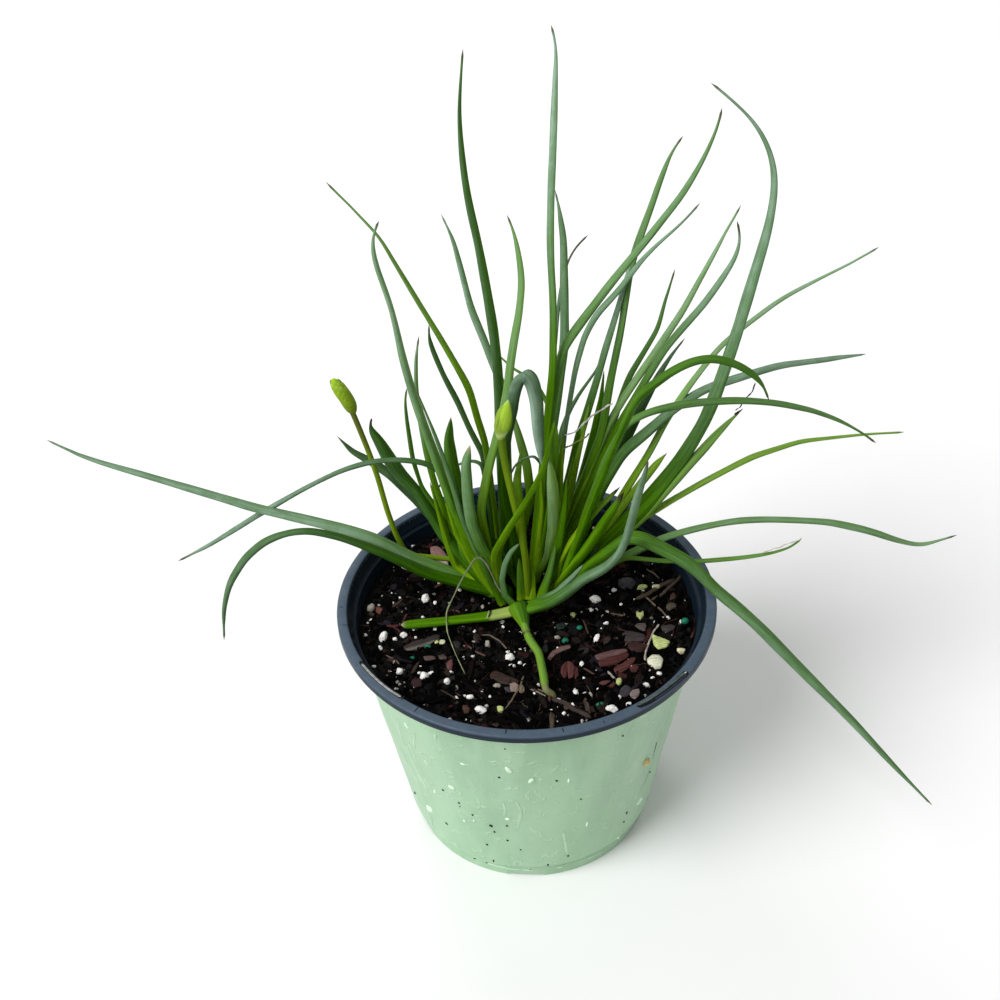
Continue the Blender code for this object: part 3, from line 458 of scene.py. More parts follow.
on_wall *= np.clip((POT_HEIGHT - 5.0 - skin_profile[:, 1]) / 8.0, 0.0, 1.0)
on_wall *= np.clip((skin_profile[:, 1] - FOOT_HEIGHT) / 8.0, 0.0, 1.0)
rings[..., :2] *= 1.0 + (wall_uneven(rings) * on_wall[:, None])[..., None] / WALL_TOP_RADIUS
points, faces = closed_sleeve(rings)
pot_skin = new_piece("pot_skin", points, faces, mint, sharp_deg=EDGE_DEG)
cut_base(pot_skin)
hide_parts("pot")

# The pot's dark layer: the same sheet's inner side, navy, which lines the pot and rolls over
# the flat rim and its turned-down lip.
LINING_SIDES = 288
LINING_GAP = 0.02
CREST = 1.0


def pressed(tree, shader, vector, scale, strength):
    """Presses the relief into a shader's surface, over a vector at a scale."""
    made = place_group(tree, relief, [("Vector", vector), ("Scale", scale), ("Strength", strength)])
    tree.links.new(made.outputs["Normal"], shader.inputs["Normal"])


def parts_of(tree, vector):
    """The X, Y and Z outputs of a vector."""
    return put(tree, "SeparateXYZ", [("Vector", vector)]).outputs


relief, inner, outer, cloud = noise_group("relief", [("Strength", "Float")], ("Normal", "Vector"),
                                          3.0, 0.55)
swell = put(relief, "Bump", [("Height", cloud), ("Strength", inner["Strength"]), ("Distance", 0.0006)])
relief.links.new(swell.outputs["Normal"], outer["Normal"])

navy, tree, shader = new_material("navy_plastic", Specular_IOR_Level=0.14)
coords = own_coords(tree)
clouds = mottled(tree, coords, 45.0)
# The rim's top face is painted many times lighter than the inside and the lip of the same sheet: painted
# light on the top.
rim_top_painted_light = ramp(tree, parts_of(tree, coords)["Z"], 0.1166, 0.1178)
colour = blend_colours(tree, clouds, (0.0070, 0.0150, 0.0260, 1.0), (0.0105, 0.0200, 0.0335, 1.0))
flat = blend_colours(tree, mottled(tree, coords, 420.0), (0.064, 0.092, 0.128, 1.0),
                     (0.074, 0.106, 0.146, 1.0))
finish_skin(tree, shader, blend_colours(tree, rim_top_painted_light, colour, flat), clouds, 0.30, 0.42)
pressed(tree, shader, coords, 260.0, 0.10)

ledge_z = POT_HEIGHT - LEDGE_DROP
inside = [(BASE_START, BASE_RISE + WALL), (HEEL_CENTRE[0] - 2.0, BASE_RISE + WALL)]
inside_heel = arc_points(HEEL_CENTRE, HEEL_RADIUS - WALL, -60.0, 0.0, 6)
inside_wall = [(radius - WALL, height) for height, radius in WALL_BENDS[::-1]]
ledge = arc_points((WALL_TOP_RADIUS - WALL - 0.9, ledge_z - 0.2), 0.9, -40.0, 60.0, 5)
flat_in = RIM_RADIUS - RIM_FLAT
inner_edge = arc_points((flat_in + 0.6, POT_HEIGHT - 0.6), 0.6, 180.0, 90.0, 6)
crest = arc_points((RIM_RADIUS - CREST, POT_HEIGHT - CREST), CREST, 90.0, 0.0, 8)
lip = arc_points((RIM_RADIUS - 0.4, POT_HEIGHT - LIP_DROP + 0.4), 0.4, 0.0, -90.0, 4)
under = [(RIM_RADIUS - LIP_WALL, POT_HEIGHT - LIP_DROP), (RIM_RADIUS - LIP_WALL, under_flat),
         (WALL_TOP_RADIUS - 0.1, under_flat), (WALL_TOP_RADIUS - SKIN, ledge_z)]
back_down = [(radius - SKIN - LINING_GAP, height) for height, radius in WALL_BENDS]
back_heel = arc_points(HEEL_CENTRE, HEEL_RADIUS - SKIN - LINING_GAP, 0.0, -60.0, 5)
floor_in = [(HEEL_CENTRE[0] - 2.0, BASE_RISE + SKIN + LINING_GAP),
            (BASE_START, BASE_RISE + SKIN + LINING_GAP)]
lining_profile = np.concatenate([inside, inside_heel, inside_wall, ledge, inner_edge, crest, lip, under,
                                 back_down, back_heel, floor_in])
points, faces = closed_sleeve(turned_rings(lining_profile, LINING_SIDES))
pot_lining = new_piece("pot_lining", points, faces, navy, sharp_deg=EDGE_DEG)
cut_base(pot_lining)
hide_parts("pot")

# Marks on the rim: two long slots where the two layers part, and short moulding ticks across the
# flat. Each is a thin strip laid on the rim. The slots' dark strips are painted shadow in them, the
# right slot's grey-green strip is its wall painted as in shade, and the pale dot at its end is a
# painted glint. The ticks are dark strips that paint the shade in small grooves.
RIM_SLOTS = (
    ((360, 661, 369.5, 672, 379.5, 681.5, 390, 690, 402.5, 698), 1.9, (0.0035, 0.006, 0.010)),
    ((361.5, 663.5, 370.5, 673.5, 380, 682.5, 390, 690.3, 401, 697), 1.05, (0.40, 0.41, 0.39)),
    ((637, 706.5, 648, 702, 661, 693.5, 674, 683.5, 687.5, 671.5), 2.6, (0.0035, 0.006, 0.010)),
    ((637, 705.2, 648, 700, 661, 691.3, 673, 682.2, 685, 672.3), 1.1, (0.105, 0.130, 0.120)),
    ((655, 699.2, 663, 694, 672, 687.2, 681, 679.5, 687, 673.8), 0.5, (0.040, 0.062, 0.088)),
    ((684.6, 673.2, 685.6, 672.4, 686.6, 671.8), 0.9, (0.62, 0.66, 0.66)),
)
RIM_TICKS = ((345, 625, -5, 3.0), (416.6, 709, 57, 3.4), (403, 698, 60, 3.0), (506, 731, 85, 3.0),
             (563, 730, -84, 2.4), (604, 722, -72, 1.6), (341, 607, 0, 1.6))


def arc_lengths(points):
    """Distance along a path to each of its points."""
    steps = np.linalg.norm(np.diff(points, axis=0), axis=1)
    return np.concatenate(([0.0], np.cumsum(steps)))


def resample(points, count):
    """The path at evenly spaced distances."""
    along = arc_lengths(points)
    return between(np.linspace(0.0, along[-1], count), along, points)


def eased(points, passes):
    """The path after passes that give each inner point a half of itself and of its neighbours."""
    points = points.copy()
    for _ in range(passes):
        points[1:-1] = 0.25 * points[:-2] + 0.5 * points[1:-1] + 0.25 * points[2:]
    return points


def round_ends(path, length):
    """Shares that close a rod's far end as a quarter circle over the length."""
    left = arc_lengths(path)[-1] - arc_lengths(path)
    return np.sqrt(np.clip(1.0 - (1.0 - left / length).clip(0.0) ** 2, 0.01, 1.0))


def both_ends(path, length):
    """Shares that close a rod at both its ends."""
    return round_ends(path, length) * round_ends(path[::-1], length)[::-1]


def round_section(sides):
    """A circle's (u, v) points, one unit across."""
    turns = even_turns(sides)
    return 0.5 * np.column_stack([np.cos(turns), np.sin(turns)])


def loft(path, section, widths, depths, side=None):
    """Rings along a path: place + across·u·width + upper·v·depth, for each (u, v) of the section."""
    if side is None:
        ends = path[-1] - path[0]
        side = np.cross([ends[0], ends[1], 0.0], [0.0, 0.0, 1.0])
    tangents = unit(np.gradient(path, axis=0))
    across = unit(side - tangents * (tangents @ np.asarray(side))[:, None])
    upper = np.cross(across, tangents)
    wide = (section[:, 0] * widths[:, None])[..., None]
    deep = (section[:, 1] * depths[:, None])[..., None]
    return path[:, None] + across[:, None] * wide + upper[:, None] * deep


def tube(path, widths, depths, side=None):
    """The points and faces of a closed rod of round section along a path."""
    return closed_sleeve(loft(path, ROUND_SECTION, widths, depths, side))


def gathered(bodies):
    """Bodies as one piece: points stacked, faces renumbered and each turned to face outwards."""
    points, faces, start = [], [], 0
    for body in bodies:
        sides = body[1]
        if volume_of(body[0] - body[0].mean(axis=0), sides) < 0.0:
            sides = [corners[:, ::-1] for corners in sides]
        faces += [corners + start for corners in sides]
        points.append(body[0])
        start += len(body[0])
    marks = [np.concatenate([body[2][k] for body in bodies]) for k in range(len(bodies[0][2]))]
    return np.concatenate(points), faces, marks


def joined(name, bodies, material, labels=("place", "tint"), sharp_deg=180.0):
    """One piece from many bodies of (points, faces, marks), with marks called by the labels."""
    points, faces, marks = gathered(bodies)
    return new_piece(name, points, faces, material, list(zip(labels, marks)), sharp_deg)


def one_tint(points, faces, tint, place=None):
    """A body in one tint, whose grain follows its place marks, or else its points."""
    return points, faces, (points if place is None else place, np.tile(tint, (len(points), 1)))


def from_mark(tree, name, output="Vector"):
    """The values of a piece's marks."""
    return put(tree, "Attribute", attribute_name=name).outputs[output]


def tinted(name, roughness, specular):
    """A material with each body's own tint, broken up by grain lines along it."""
    material, tree, shader = new_material(name, Roughness=roughness, Specular_IOR_Level=specular)
    long_way = stretched(tree, from_mark(tree, "place"), (0.10, 1.0, 1.0))
    lines = ramp(tree, mottled(tree, long_way, 1.5), 0.0, 1.0, 0.0, 0.65)
    spots = ramp(tree, mottled(tree, own_coords(tree), 700.0), 0.0, 1.0, 0.0, 0.35)
    shade = from_mark(tree, "tint", "Color")
    shade = blend_colours(tree, lines, shade, (0.42, 0.38, 0.38, 1.0), 'MULTIPLY')
    shade = blend_colours(tree, spots, shade, (0.60, 0.58, 0.58, 1.0), 'MULTIPLY')
    tree.links.new(shade, shader.inputs["Base Color"])
    pressed(tree, shader, long_way, 2.0, 0.6)
    return material


SLOT_RINGS = 40
TICK_RINGS = 8
MARK_DEPTH = 0.12
painted_slot_shade = tinted("slot_shadow", 0.6, 0.2)
ROUND_SECTION = round_section(12)
bodies = []
for number, (pairs, width, tint) in enumerate(RIM_SLOTS):
    pixels = np.array(pairs, float).reshape(-1, 2)
    lift = POT_HEIGHT + 0.03 + 0.04 * number
    path = eased(resample(at_height(pixels, lift), SLOT_RINGS), 4)
    depths = np.full(SLOT_RINGS, MARK_DEPTH)
    points, faces = tube(path, width * both_ends(path, 1.2), depths)
    place = np.column_stack([points[:, 0], points[:, 1], np.full(len(points), number)])
    bodies.append(one_tint(points, faces, tint, place))
for px, py, turn_deg, length in RIM_TICKS:
    spot = at_height((px, py), POT_HEIGHT + 0.05)[0]
    way = np.array([*heading_of(turn_deg), 0.0])
    path = spot + np.linspace(-0.5, 0.5, TICK_RINGS)[:, None] * length * way
    depths = np.full(TICK_RINGS, MARK_DEPTH)
    points, faces = tube(path, 0.42 * both_ends(path, 0.5), depths)
    bodies.append(one_tint(points, faces, (0.008, 0.014, 0.022)))
joined("rim_marks", bodies, painted_slot_shade)

# Water drops on the pot's wall. Each is set where the view's ray meets the wall and lies flat on
# it, as the trails and specks after them do. Drops: pixel, width and height in pixels, and turn
# in degrees, where it isn't 0.
DROPS = (
    (508.7, 770.1, 5.6, 8.6, 25), (531, 780.7, 4.6, 6.4, -25), (451.3, 787.3, 6.6, 5.2, -25),
    (639.5, 800.8, 9, 7.5, -28), (618, 837.3, 4.4, 3.4, -20), (568.7, 780.4, 2.6, 6),
    (586.8, 824, 2.4, 7), (435.2, 791.5, 2.6, 5.4), (429.4, 808.6, 7, 12, -42),
    (507.7, 818.9, 5, 2.4, 10), (406.5, 725.7, 3.2, 6.6, 30), (462.9, 763.8, 5.4, 1.5, -12),
    (426.5, 762.5, 2.6, 5.6, 20), (474, 820.5, 2.4, 3), (464.5, 820.8, 3.6, 3),
)
ICO_RATIO = 0.5 * (1.0 + math.sqrt(5.0))
ICO_POINTS = np.array([(-1, ICO_RATIO, 0), (1, ICO_RATIO, 0), (-1, -ICO_RATIO, 0), (1, -ICO_RATIO, 0),
                       (0, -1, ICO_RATIO), (0, 1, ICO_RATIO), (0, -1, -ICO_RATIO), (0, 1, -ICO_RATIO),
                       (ICO_RATIO, 0, -1), (ICO_RATIO, 0, 1), (-ICO_RATIO, 0, -1), (-ICO_RATIO, 0, 1)])
ICO_POINTS = unit(ICO_POINTS)
ICO_FACES = np.array([(0, 11, 5), (0, 5, 1), (0, 1, 7), (0, 7, 10), (0, 10, 11), (1, 5, 9), (5, 11, 4),
                      (11, 10, 2), (10, 7, 6), (7, 1, 8), (3, 9, 4), (3, 4, 2), (3, 2, 6), (3, 6, 8),
                      (3, 8, 9), (4, 9, 5), (2, 4, 11), (6, 2, 10), (8, 6, 7), (9, 8, 1)])


def turned_rows(table):
    """Rows of pixel, width, height and turn, where a turn of 0 may be left out."""
    return np.array([(*row, 0.0)[:5] for row in table], float)


def finer_ball(points, faces):
    """Each triangle as four, with the new points pushed out to the unit ball."""
    edges = np.sort(np.concatenate([faces[:, [0, 1]], faces[:, [1, 2]], faces[:, [2, 0]]]), axis=1)
    edges, which = np.unique(edges, axis=0, return_inverse=True)
    middle = unit(points[edges].sum(axis=1))
    ab, bc, ca = which.reshape(3, -1) + len(points)
    a, b, c = faces.T
    corners = ((a, ab, ca), (b, bc, ab), (c, ca, bc), (ab, bc, ca))
    return np.concatenate([points, middle]), np.concatenate([np.column_stack(c) for c in corners])


BALL_POINTS, BALL_FACES = finer_ball(ICO_POINTS, ICO_FACES)
ROUND_POINTS, ROUND_FACES = finer_ball(BALL_POINTS, BALL_FACES)


def copies(shape, faces, places, sizes, turns):
    """Many copies: each point is place + turn @ (shape·size). Shapes may differ by copy."""
    points = np.einsum('nij,nkj->nki', turns, shape * sizes[:, None, :]) + places[:, None, :]
    count = shape.shape[-2]
    shifted = faces[None] + (np.arange(len(places)) * count)[:, None, None]
    return points.reshape(-1, 3), shifted.reshape(-1, faces.shape[1])


def rough_lumps(count, draw, shape, amount):
    """One shape for each copy, with its points moved in or out by up to the amount."""
    return shape[None] * (1.0 + amount * draw.uniform(-1.0, 1.0, size=(count, len(shape), 1)))


def to_wall(pixels, lift=0.0):
    """Where rays meet the wall or foot: the depth goes half way to -root(r² - x²), 40 times over."""
    pixels = np.atleast_2d(pixels).astype(float)
    depths = np.full(len(pixels), -60.0)
    for _ in range(40):
        spots = at_depth(pixels, depths)
        foot_reach = FOOT_RADIUS + 0.22 - 4.0 * np.clip(spots[:, 2] - 5.8, 0.0, 2.0)
        reach = np.maximum(wall_radius(spots[:, 2]), foot_reach) + lift
        depths = 0.5 * depths - 0.5 * np.sqrt(np.maximum(reach ** 2 - spots[:, 0] ** 2, 4.0))
    return at_depth(pixels, depths)


def wall_turns(spots, spin_deg):
    """Turning matrices with columns round, up and out of the wall, spun about the outward one."""
    slope = (wall_radius(spots[:, 2] + 0.5) - wall_radius(spots[:, 2] - 0.5))[:, None]
    flat = unit(spots[:, :2])
    out = unit(np.column_stack([flat, -slope]))
    side = np.column_stack([-flat[:, 1], flat[:, 0], np.zeros(len(spots))])
    up = np.cross(out, side)
    spin = np.radians(spin_deg)[:, None]
    across = side * np.cos(spin) + up * np.sin(spin)
    return np.stack([across, np.cross(out, across), out], axis=2)


PER_PIXEL = 0.44
# The drops' colour is a paler mint than the wall's: painted light on the water, over its real gloss.
painted_light_water, tree, shader = new_material("water_drop_painted_light", Specular_IOR_Level=0.7, Coat_Weight=0.3)
haze = mottled(tree, own_coords(tree), 500.0)
finish_skin(tree, shader, blend_colours(tree, haze, (0.56, 0.76, 0.56, 1.0), (0.66, 0.86, 0.66, 1.0)),
            haze, 0.12, 0.25)
seen = turned_rows(DROPS)
spots = to_wall(seen[:, :2])
facing = np.sqrt(np.clip(-spots[:, 1] / np.hypot(spots[:, 0], spots[:, 1]), 0.4, 1.0))
sizes = np.column_stack([0.5 * PER_PIXEL * seen[:, 2] / facing, 0.62 * PER_PIXEL * seen[:, 3],
                         np.full(len(seen), 0.55)])
shapes = np.repeat(ROUND_POINTS[None], len(seen), axis=0)
shapes = shapes * (1.0 + 0.10 * waves(shapes * (1.0, 1.0, 0.2) + spots[:, None], 1.8, 8, 3))[..., None]
points, faces = copies(shapes, ROUND_FACES, spots, sizes, wall_turns(spots, seen[:, 4]))
joined("wall_drops", [(points, [faces], ())], painted_light_water)

# Soft pale trails of dried water down the wall, and the pale line along the bend above the foot,
# which is a painted highlight. Each is a thin flat strip, pale along its middle, that follows the
# wall's unevenness. Runs: strength, width, then the route in pixels.
RUNS = (
    (0.9, 1, 414.8, 733, 414.2, 741, 414.6, 749), (0.8, 1, 397, 719, 402, 742, 408, 757),
    (1.1, 1, 405, 744, 413, 764, 428, 791), (0.8, 0.9, 409, 742, 414, 756, 418, 766),
    (0.9, 1, 401, 748, 408, 766, 419, 784), (0.6, 1, 459, 762, 464, 765, 470, 764),
    (0.7, 1, 487, 761, 492, 762, 498, 760), (0.6, 1, 489, 764.5, 493, 765, 497, 764),
    (0.6, 1, 513, 753, 518, 752, 525, 754), (0.6, 1, 526, 765, 532, 763, 538, 761),
    (0.6, 0.9, 549, 773, 554, 770, 560, 764), (0.5, 1.2, 496, 779, 500, 781, 505, 780),
    (0.6, 1.2, 503, 801, 505, 810, 504, 817), (0.7, 1, 504, 818, 507, 819, 510, 818),
    (0.5, 1.8, 515, 800, 521, 812, 517, 830), (0.8, 1.6, 563, 831, 565, 842, 567, 855),
    (0.5, 1.2, 425, 806, 431, 816, 432, 826), (0.4, 1.6, 470, 790, 476, 796, 480, 806),
    (0.5, 1, 457, 838, 470, 846, 486, 851), (0.4, 1.8, 436, 733, 434, 738, 437, 743),
    # The last run is the painted highlight along the bend above the foot.
    (1.4, 0.8, 484, 862, 497, 866.2, 512, 869.2, 530, 870.2, 560, 867.6, 590, 858.2, 604, 850.6),
)
WALL_TINT = np.array([0.320, 0.505, 0.327])
TRAIL_AND_HIGHLIGHT_TINT = np.array([0.56, 0.76, 0.56])
RUN_RINGS = 24
LONG_RUN = 6
LONG_RUN_RINGS = 90
trail_and_highlight, tree, shader = new_material("dried_trail_and_painted_highlight", Specular_IOR_Level=0.12)
haze = mottled(tree, own_coords(tree), 260.0)
colour = blend_colours(tree, ramp(tree, haze, 0.0, 1.0, 0.0, 0.30), from_mark(tree, "tint", "Color"),
                       (0.30, 0.48, 0.31, 1.0))
finish_skin(tree, shader, colour, haze, 0.45, 0.60)
bodies = []
for strength, width, *pixels in RUNS:
    pixels = np.reshape(pixels, (-1, 2))
    count = RUN_RINGS if len(pixels) < LONG_RUN else LONG_RUN_RINGS
    path = eased(resample(to_wall(pixels), count), 4)
    uneven = np.clip((path[:, 2] - FOOT_HEIGHT) / 8.0, 0.0, 1.0) * wall_uneven(path)
    ends = both_ends(path, 3.0)
    upper = path * (1.0, 1.0, 0.0) / np.linalg.norm(path[:, :2], axis=1)[:, None]
    across = np.cross(upper, np.gradient(path, axis=0))
    across *= (0.5 * width * ends / np.linalg.norm(across, axis=1))[:, None]
    path = path + upper * (uneven + 0.03)[:, None]
    points = (path[:, None] + across[:, None] * 2.0 * ROUND_SECTION[:, :1]
              + upper[:, None] * (0.12 * ROUND_SECTION[:, 1] * np.sqrt(ends)[:, None])[..., None])
    points, faces = closed_sleeve(points)
    middle = 1.0 - (2.0 * ROUND_SECTION[:, 0]) ** 2
    share = (strength * np.concatenate([np.outer(ends ** 2, middle).ravel(), [0.0, 0.0]]))[:, None]
    bodies.append((points, faces, (points, WALL_TINT * (1.0 - share) + TRAIL_AND_HIGHLIGHT_TINT * share)))
joined("wall_trails_and_painted_highlight", bodies, trail_and_highlight)

# Specks of mix on the wall, one tan grain, and a thin dark line at the right that paints the shade in
# a fold of the wall. Specks: pixel, and width and height in pixels.
SPECKS = (
    (443, 790, 2.8, 2), (459, 803, 2.2, 1.8), (460, 806.5, 1.4, 1.2), (472.5, 815, 2.4, 2.4),
    (491, 826, 3.8, 2.8), (494.5, 832, 2.2, 1.8), (446.5, 823.5, 3.6, 1.7), (507.6, 840.5, 2.6, 2),
    (487, 844.6, 2.4, 2), (507, 826, 2.2, 1.8), (520.7, 849.7, 2.2, 1.8), (556.7, 781, 2.4, 2.2),
    (499, 777.6, 2.2, 2), (581, 799, 2, 2), (568, 856, 2.2, 2.4), (475, 858.5, 3, 1.6),
    (487, 862.6, 2.6, 1.6), (493.5, 861, 1.8, 3.4), (531, 869, 3, 1.2), (548, 865, 1.8, 3.4),
    (623, 736, 1.4, 2.6), (415, 793, 3, 2), (505, 749, 1, 1.8), (627, 813, 1.2, 5.6),
    (650, 772, 1.4, 2.6), (624, 822, 1.6, 2.6),
)
TAN_GRAIN = (646.2, 761.8)
RIGHT_FOLD_SHADE = (657, 742, 646, 780, 640, 792)
RIGHT_FOLD_SHADE_WIDTH = 0.34
RIGHT_FOLD_SHADE_RINGS = 30
speck_matter = tinted("wall_speck", 0.8, 0.1)
draw = np.random.default_rng(12)
seen = np.array(SPECKS)
spots = to_wall(seen[:, :2], 0.1)
sizes = np.column_stack([0.5 * PER_PIXEL * seen[:, 2:4], np.full(len(seen), 0.28)])
turns = wall_turns(spots, np.full(len(seen), -35.0) * (seen[:, 2] > seen[:, 3]))
points, faces = copies(rough_lumps(len(seen), draw, BALL_POINTS, 0.22), BALL_FACES, spots, sizes, turns)
bodies = [one_tint(points, [faces], (0.006, 0.010, 0.006))]
spots = to_wall([TAN_GRAIN], 0.3)
points, faces = copies(rough_lumps(1, draw, ROUND_POINTS, 0.05), ROUND_FACES, spots,
                       np.array([(1.9, 2.1, 1.5)]), wall_turns(spots, np.array([20.0])))
bodies.append(one_tint(points, [faces], (0.74, 0.62, 0.26)))
# A painted shade: the dark line along the fold at the right.
path = eased(resample(to_wall(np.reshape(RIGHT_FOLD_SHADE, (-1, 2))), RIGHT_FOLD_SHADE_RINGS), 3)
widths = RIGHT_FOLD_SHADE_WIDTH * both_ends(path, 2.0)
bodies.append(one_tint(*tube(path, widths, widths), (0.10, 0.14, 0.09)))
joined("wall_specks", bodies, speck_matter)

# The potting mix: moist black bark and peat, level about 11 mm under the rim. Its body fills
# the pot, lumpy on top, flat where something stands or lies on it and low at its edge.
SOIL_Z = 107.0
MIX_RADIUS = 71.4
MIX_INSET = 0.4
RESTS = [(-10.0, 13.5, 7.6), (-8.0, 30.0, 7.0), (1.0, 19.5, 7.2), (10.0, 32.0, 7.6), (11.5, 12.5, 7.8),
         (-22.0, 27.5, 4.0), (1.2, 10.0, 4.0), (8.6, -49.0, 5.0)]
RESTS += [(*at_height((px, py), SOIL_Z)[0, :2], reach) for px, py, reach in (
    (437, 557, 9.0), (503, 681, 9.0), (627, 583, 6.5), (618, 659, 9.5), (569, 670, 6.5),
    (556, 700, 5.5), (572, 706, 5.5), (590, 718, 5.5), (640, 597, 5.5), (656, 589, 5.5), (671, 581, 5.5))]
RESTS = np.array(RESTS)


def mix_height(x, y):
    """Height of the mix: three spans of waves, faded out near what it carries, lower at the edge."""
    spots = np.stack([x, y], -1)
    lumps = 0.95 * waves(spots, 12.0, 14, 21) + 0.50 * waves(spots, 4.6, 18, 22)
    lumps = np.clip(lumps, -1.7, 1.7) + 0.16 * waves(spots, 1.9, 18, 23)
    away = np.linalg.norm(spots[..., None, :] - RESTS[:, :2], axis=-1) - RESTS[:, 2]
    share = np.clip(away.min(axis=-1) / 4.0, 0.0, 1.0)
    fall = 0.08 * np.maximum(0.0, np.hypot(x, y) - 62.0)
    return SOIL_Z + (lumps - fall) * share


moist, tree, shader = new_material("moist_mix", Specular_IOR_Level=0.10)
coords = own_coords(tree)
crumbs = mottled(tree, coords, 700.0)
colour = blend_colours(tree, crumbs, (0.0008, 0.0007, 0.0007, 1.0), (0.0030, 0.0024, 0.0022, 1.0))
finish_skin(tree, shader, colour, crumbs, 0.55, 0.85)
pressed(tree, shader, coords, 900.0, 0.8)

reach = np.concatenate([[0.3], np.linspace(0.9, MIX_RADIUS, 110)])
top_rings = turned_rings(np.column_stack([reach, np.zeros(len(reach))]), SKIN_SIDES)
top_rings[..., 2] = mix_height(top_rings[..., 0], top_rings[..., 1])
side = [(radius - WALL - MIX_INSET, height) for height, radius in WALL_BENDS[1:]]
side = np.concatenate([side, arc_points(HEEL_CENTRE, HEEL_RADIUS - WALL - MIX_INSET, 0.0, -60.0, 4),
                       [(HEEL_CENTRE[0] - 2.4, BASE_RISE + WALL + 0.3), (0.3, BASE_RISE + WALL + 0.3)]])
points, faces = closed_sleeve(np.concatenate([top_rings, turned_rings(side, SKIN_SIDES)]))
mix_body = new_piece("mix_body", points, faces, moist)
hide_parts("potting_mix")

# Loose matter over the mix: peat crumbs, bark flakes and fibres, all seeded and all dark, with
# a few red-brown and grey-violet ones. Each lies a little sunk in the surface.


def random_turns(count, draw, lean=1.0):
    """Turning matrices: any spin about Z, after a tilt of up to lean radians about X."""
    spin = draw.uniform(0.0, 2.0 * math.pi, count)
    tilt = draw.uniform(-lean, lean, count)
    zero, one = np.zeros(count), np.ones(count)
    about_z = np.array([[np.cos(spin), -np.sin(spin), zero], [np.sin(spin), np.cos(spin), zero],
                        [zero, zero, one]])
    about_x = np.array([[one, zero, zero], [zero, np.cos(tilt), -np.sin(tilt)],
                        [zero, np.sin(tilt), np.cos(tilt)]])
    return np.einsum('abn,bcn->nac', about_z, about_x)


def scattered(count, draw, reach=70.0):
    """Even random places over the mix: radius as the root of a share of the reach squared."""
    turns = draw.uniform(0.0, 2.0 * math.pi, count)
    radii = reach * np.sqrt(draw.random(count))
    x, y = radii * np.cos(turns), radii * np.sin(turns)
    return np.column_stack([x, y, mix_height(x, y)])


def drawn_tints(count, draw, tones, each):
    """A tint for each copy, drawn by the tones' weights and dimmed a little, one per point."""
    weights = np.array([tone[0] for tone in tones])
    which = draw.choice(len(tones), count, p=weights / weights.sum())
    chosen = np.array([tone[1] for tone in tones])[which]
    return np.repeat(chosen * draw.uniform(0.65, 1.25, (count, 1)), each, axis=0)


BARK_TONES = (
    (52, (0.0014, 0.0012, 0.0012)), (26, (0.0034, 0.0027, 0.0025)), (10, (0.010, 0.0075, 0.0066)),
    (4, (0.024, 0.018, 0.016)), (3, (0.020, 0.018, 0.024)), (3, (0.046, 0.016, 0.015)),
    (2, (0.070, 0.050, 0.040)),
)
loose = tinted("loose_matter", 0.80, 0.03)
draw = np.random.default_rng(31)
CRUMB_COUNT = 3000
shapes = rough_lumps(CRUMB_COUNT, draw, ICO_POINTS, 0.38)
sizes = draw.uniform(0.30, 1.20, (CRUMB_COUNT, 1)) * draw.uniform(0.6, 1.4, (CRUMB_COUNT, 3))
places = scattered(CRUMB_COUNT, draw)
points, faces = copies(shapes, ICO_FACES, places, sizes, random_turns(CRUMB_COUNT, draw))
tints = drawn_tints(CRUMB_COUNT, draw, BARK_TONES, len(ICO_POINTS))
new_piece("peat_crumbs", points, [faces], loose, [("place", points), ("tint", tints)],
          sharp_deg=30.0)

FLAKE_COUNT = 900
CORNERS = 9
turns = even_turns(CORNERS)
plate = [np.column_stack([np.cos(turns), np.sin(turns), np.full(CORNERS, z)]) for z in (-1, 1)]
plate = np.concatenate([*plate, [(0.0, 0.0, -1.0), (0.0, 0.0, 1.4)]])
around, beside = np.arange(CORNERS), (np.arange(CORNERS) + 1) % CORNERS
plate_faces = np.concatenate([np.column_stack([around, beside, beside + CORNERS]),
                              np.column_stack([around, beside + CORNERS, around + CORNERS]),
                              np.column_stack([beside, around, np.full(CORNERS, 2 * CORNERS)]),
                              np.column_stack([around + CORNERS, beside + CORNERS,
                                               np.full(CORNERS, 2 * CORNERS + 1)])])


def held_inside(points):
    """Points with their radius held to the lining's, which is wall_radius(z) - WALL, less 0.5."""
    far = np.linalg.norm(points[:, :2], axis=1)
    held = np.minimum(1.0, (wall_radius(points[:, 2]) - WALL - 0.5) / np.maximum(far, 0.1))
    return points * np.column_stack([held, held, np.ones(len(held))])


shapes = rough_lumps(FLAKE_COUNT, draw, plate, 0.26)
sizes = np.column_stack([draw.uniform(0.9, 2.1, FLAKE_COUNT) ** 2 * 1.15,
                         draw.uniform(0.7, 1.9, FLAKE_COUNT), draw.uniform(0.22, 0.65, FLAKE_COUNT)])
places = scattered(FLAKE_COUNT, draw, 67.5) + (0.0, 0.0, 0.45)
points, faces = copies(shapes, plate_faces, places, sizes, random_turns(FLAKE_COUNT, draw, 0.75))
points = held_inside(points)
tints = drawn_tints(FLAKE_COUNT, draw, BARK_TONES, len(plate))
local = np.tile(plate, (FLAKE_COUNT, 1)) * np.repeat(sizes, len(plate), axis=0)
local += np.repeat(draw.uniform(0.0, 90.0, (FLAKE_COUNT, 1)), len(plate), axis=0)
new_piece("bark_flakes", points, [faces], loose, [("place", local), ("tint", tints)],
          sharp_deg=35.0)


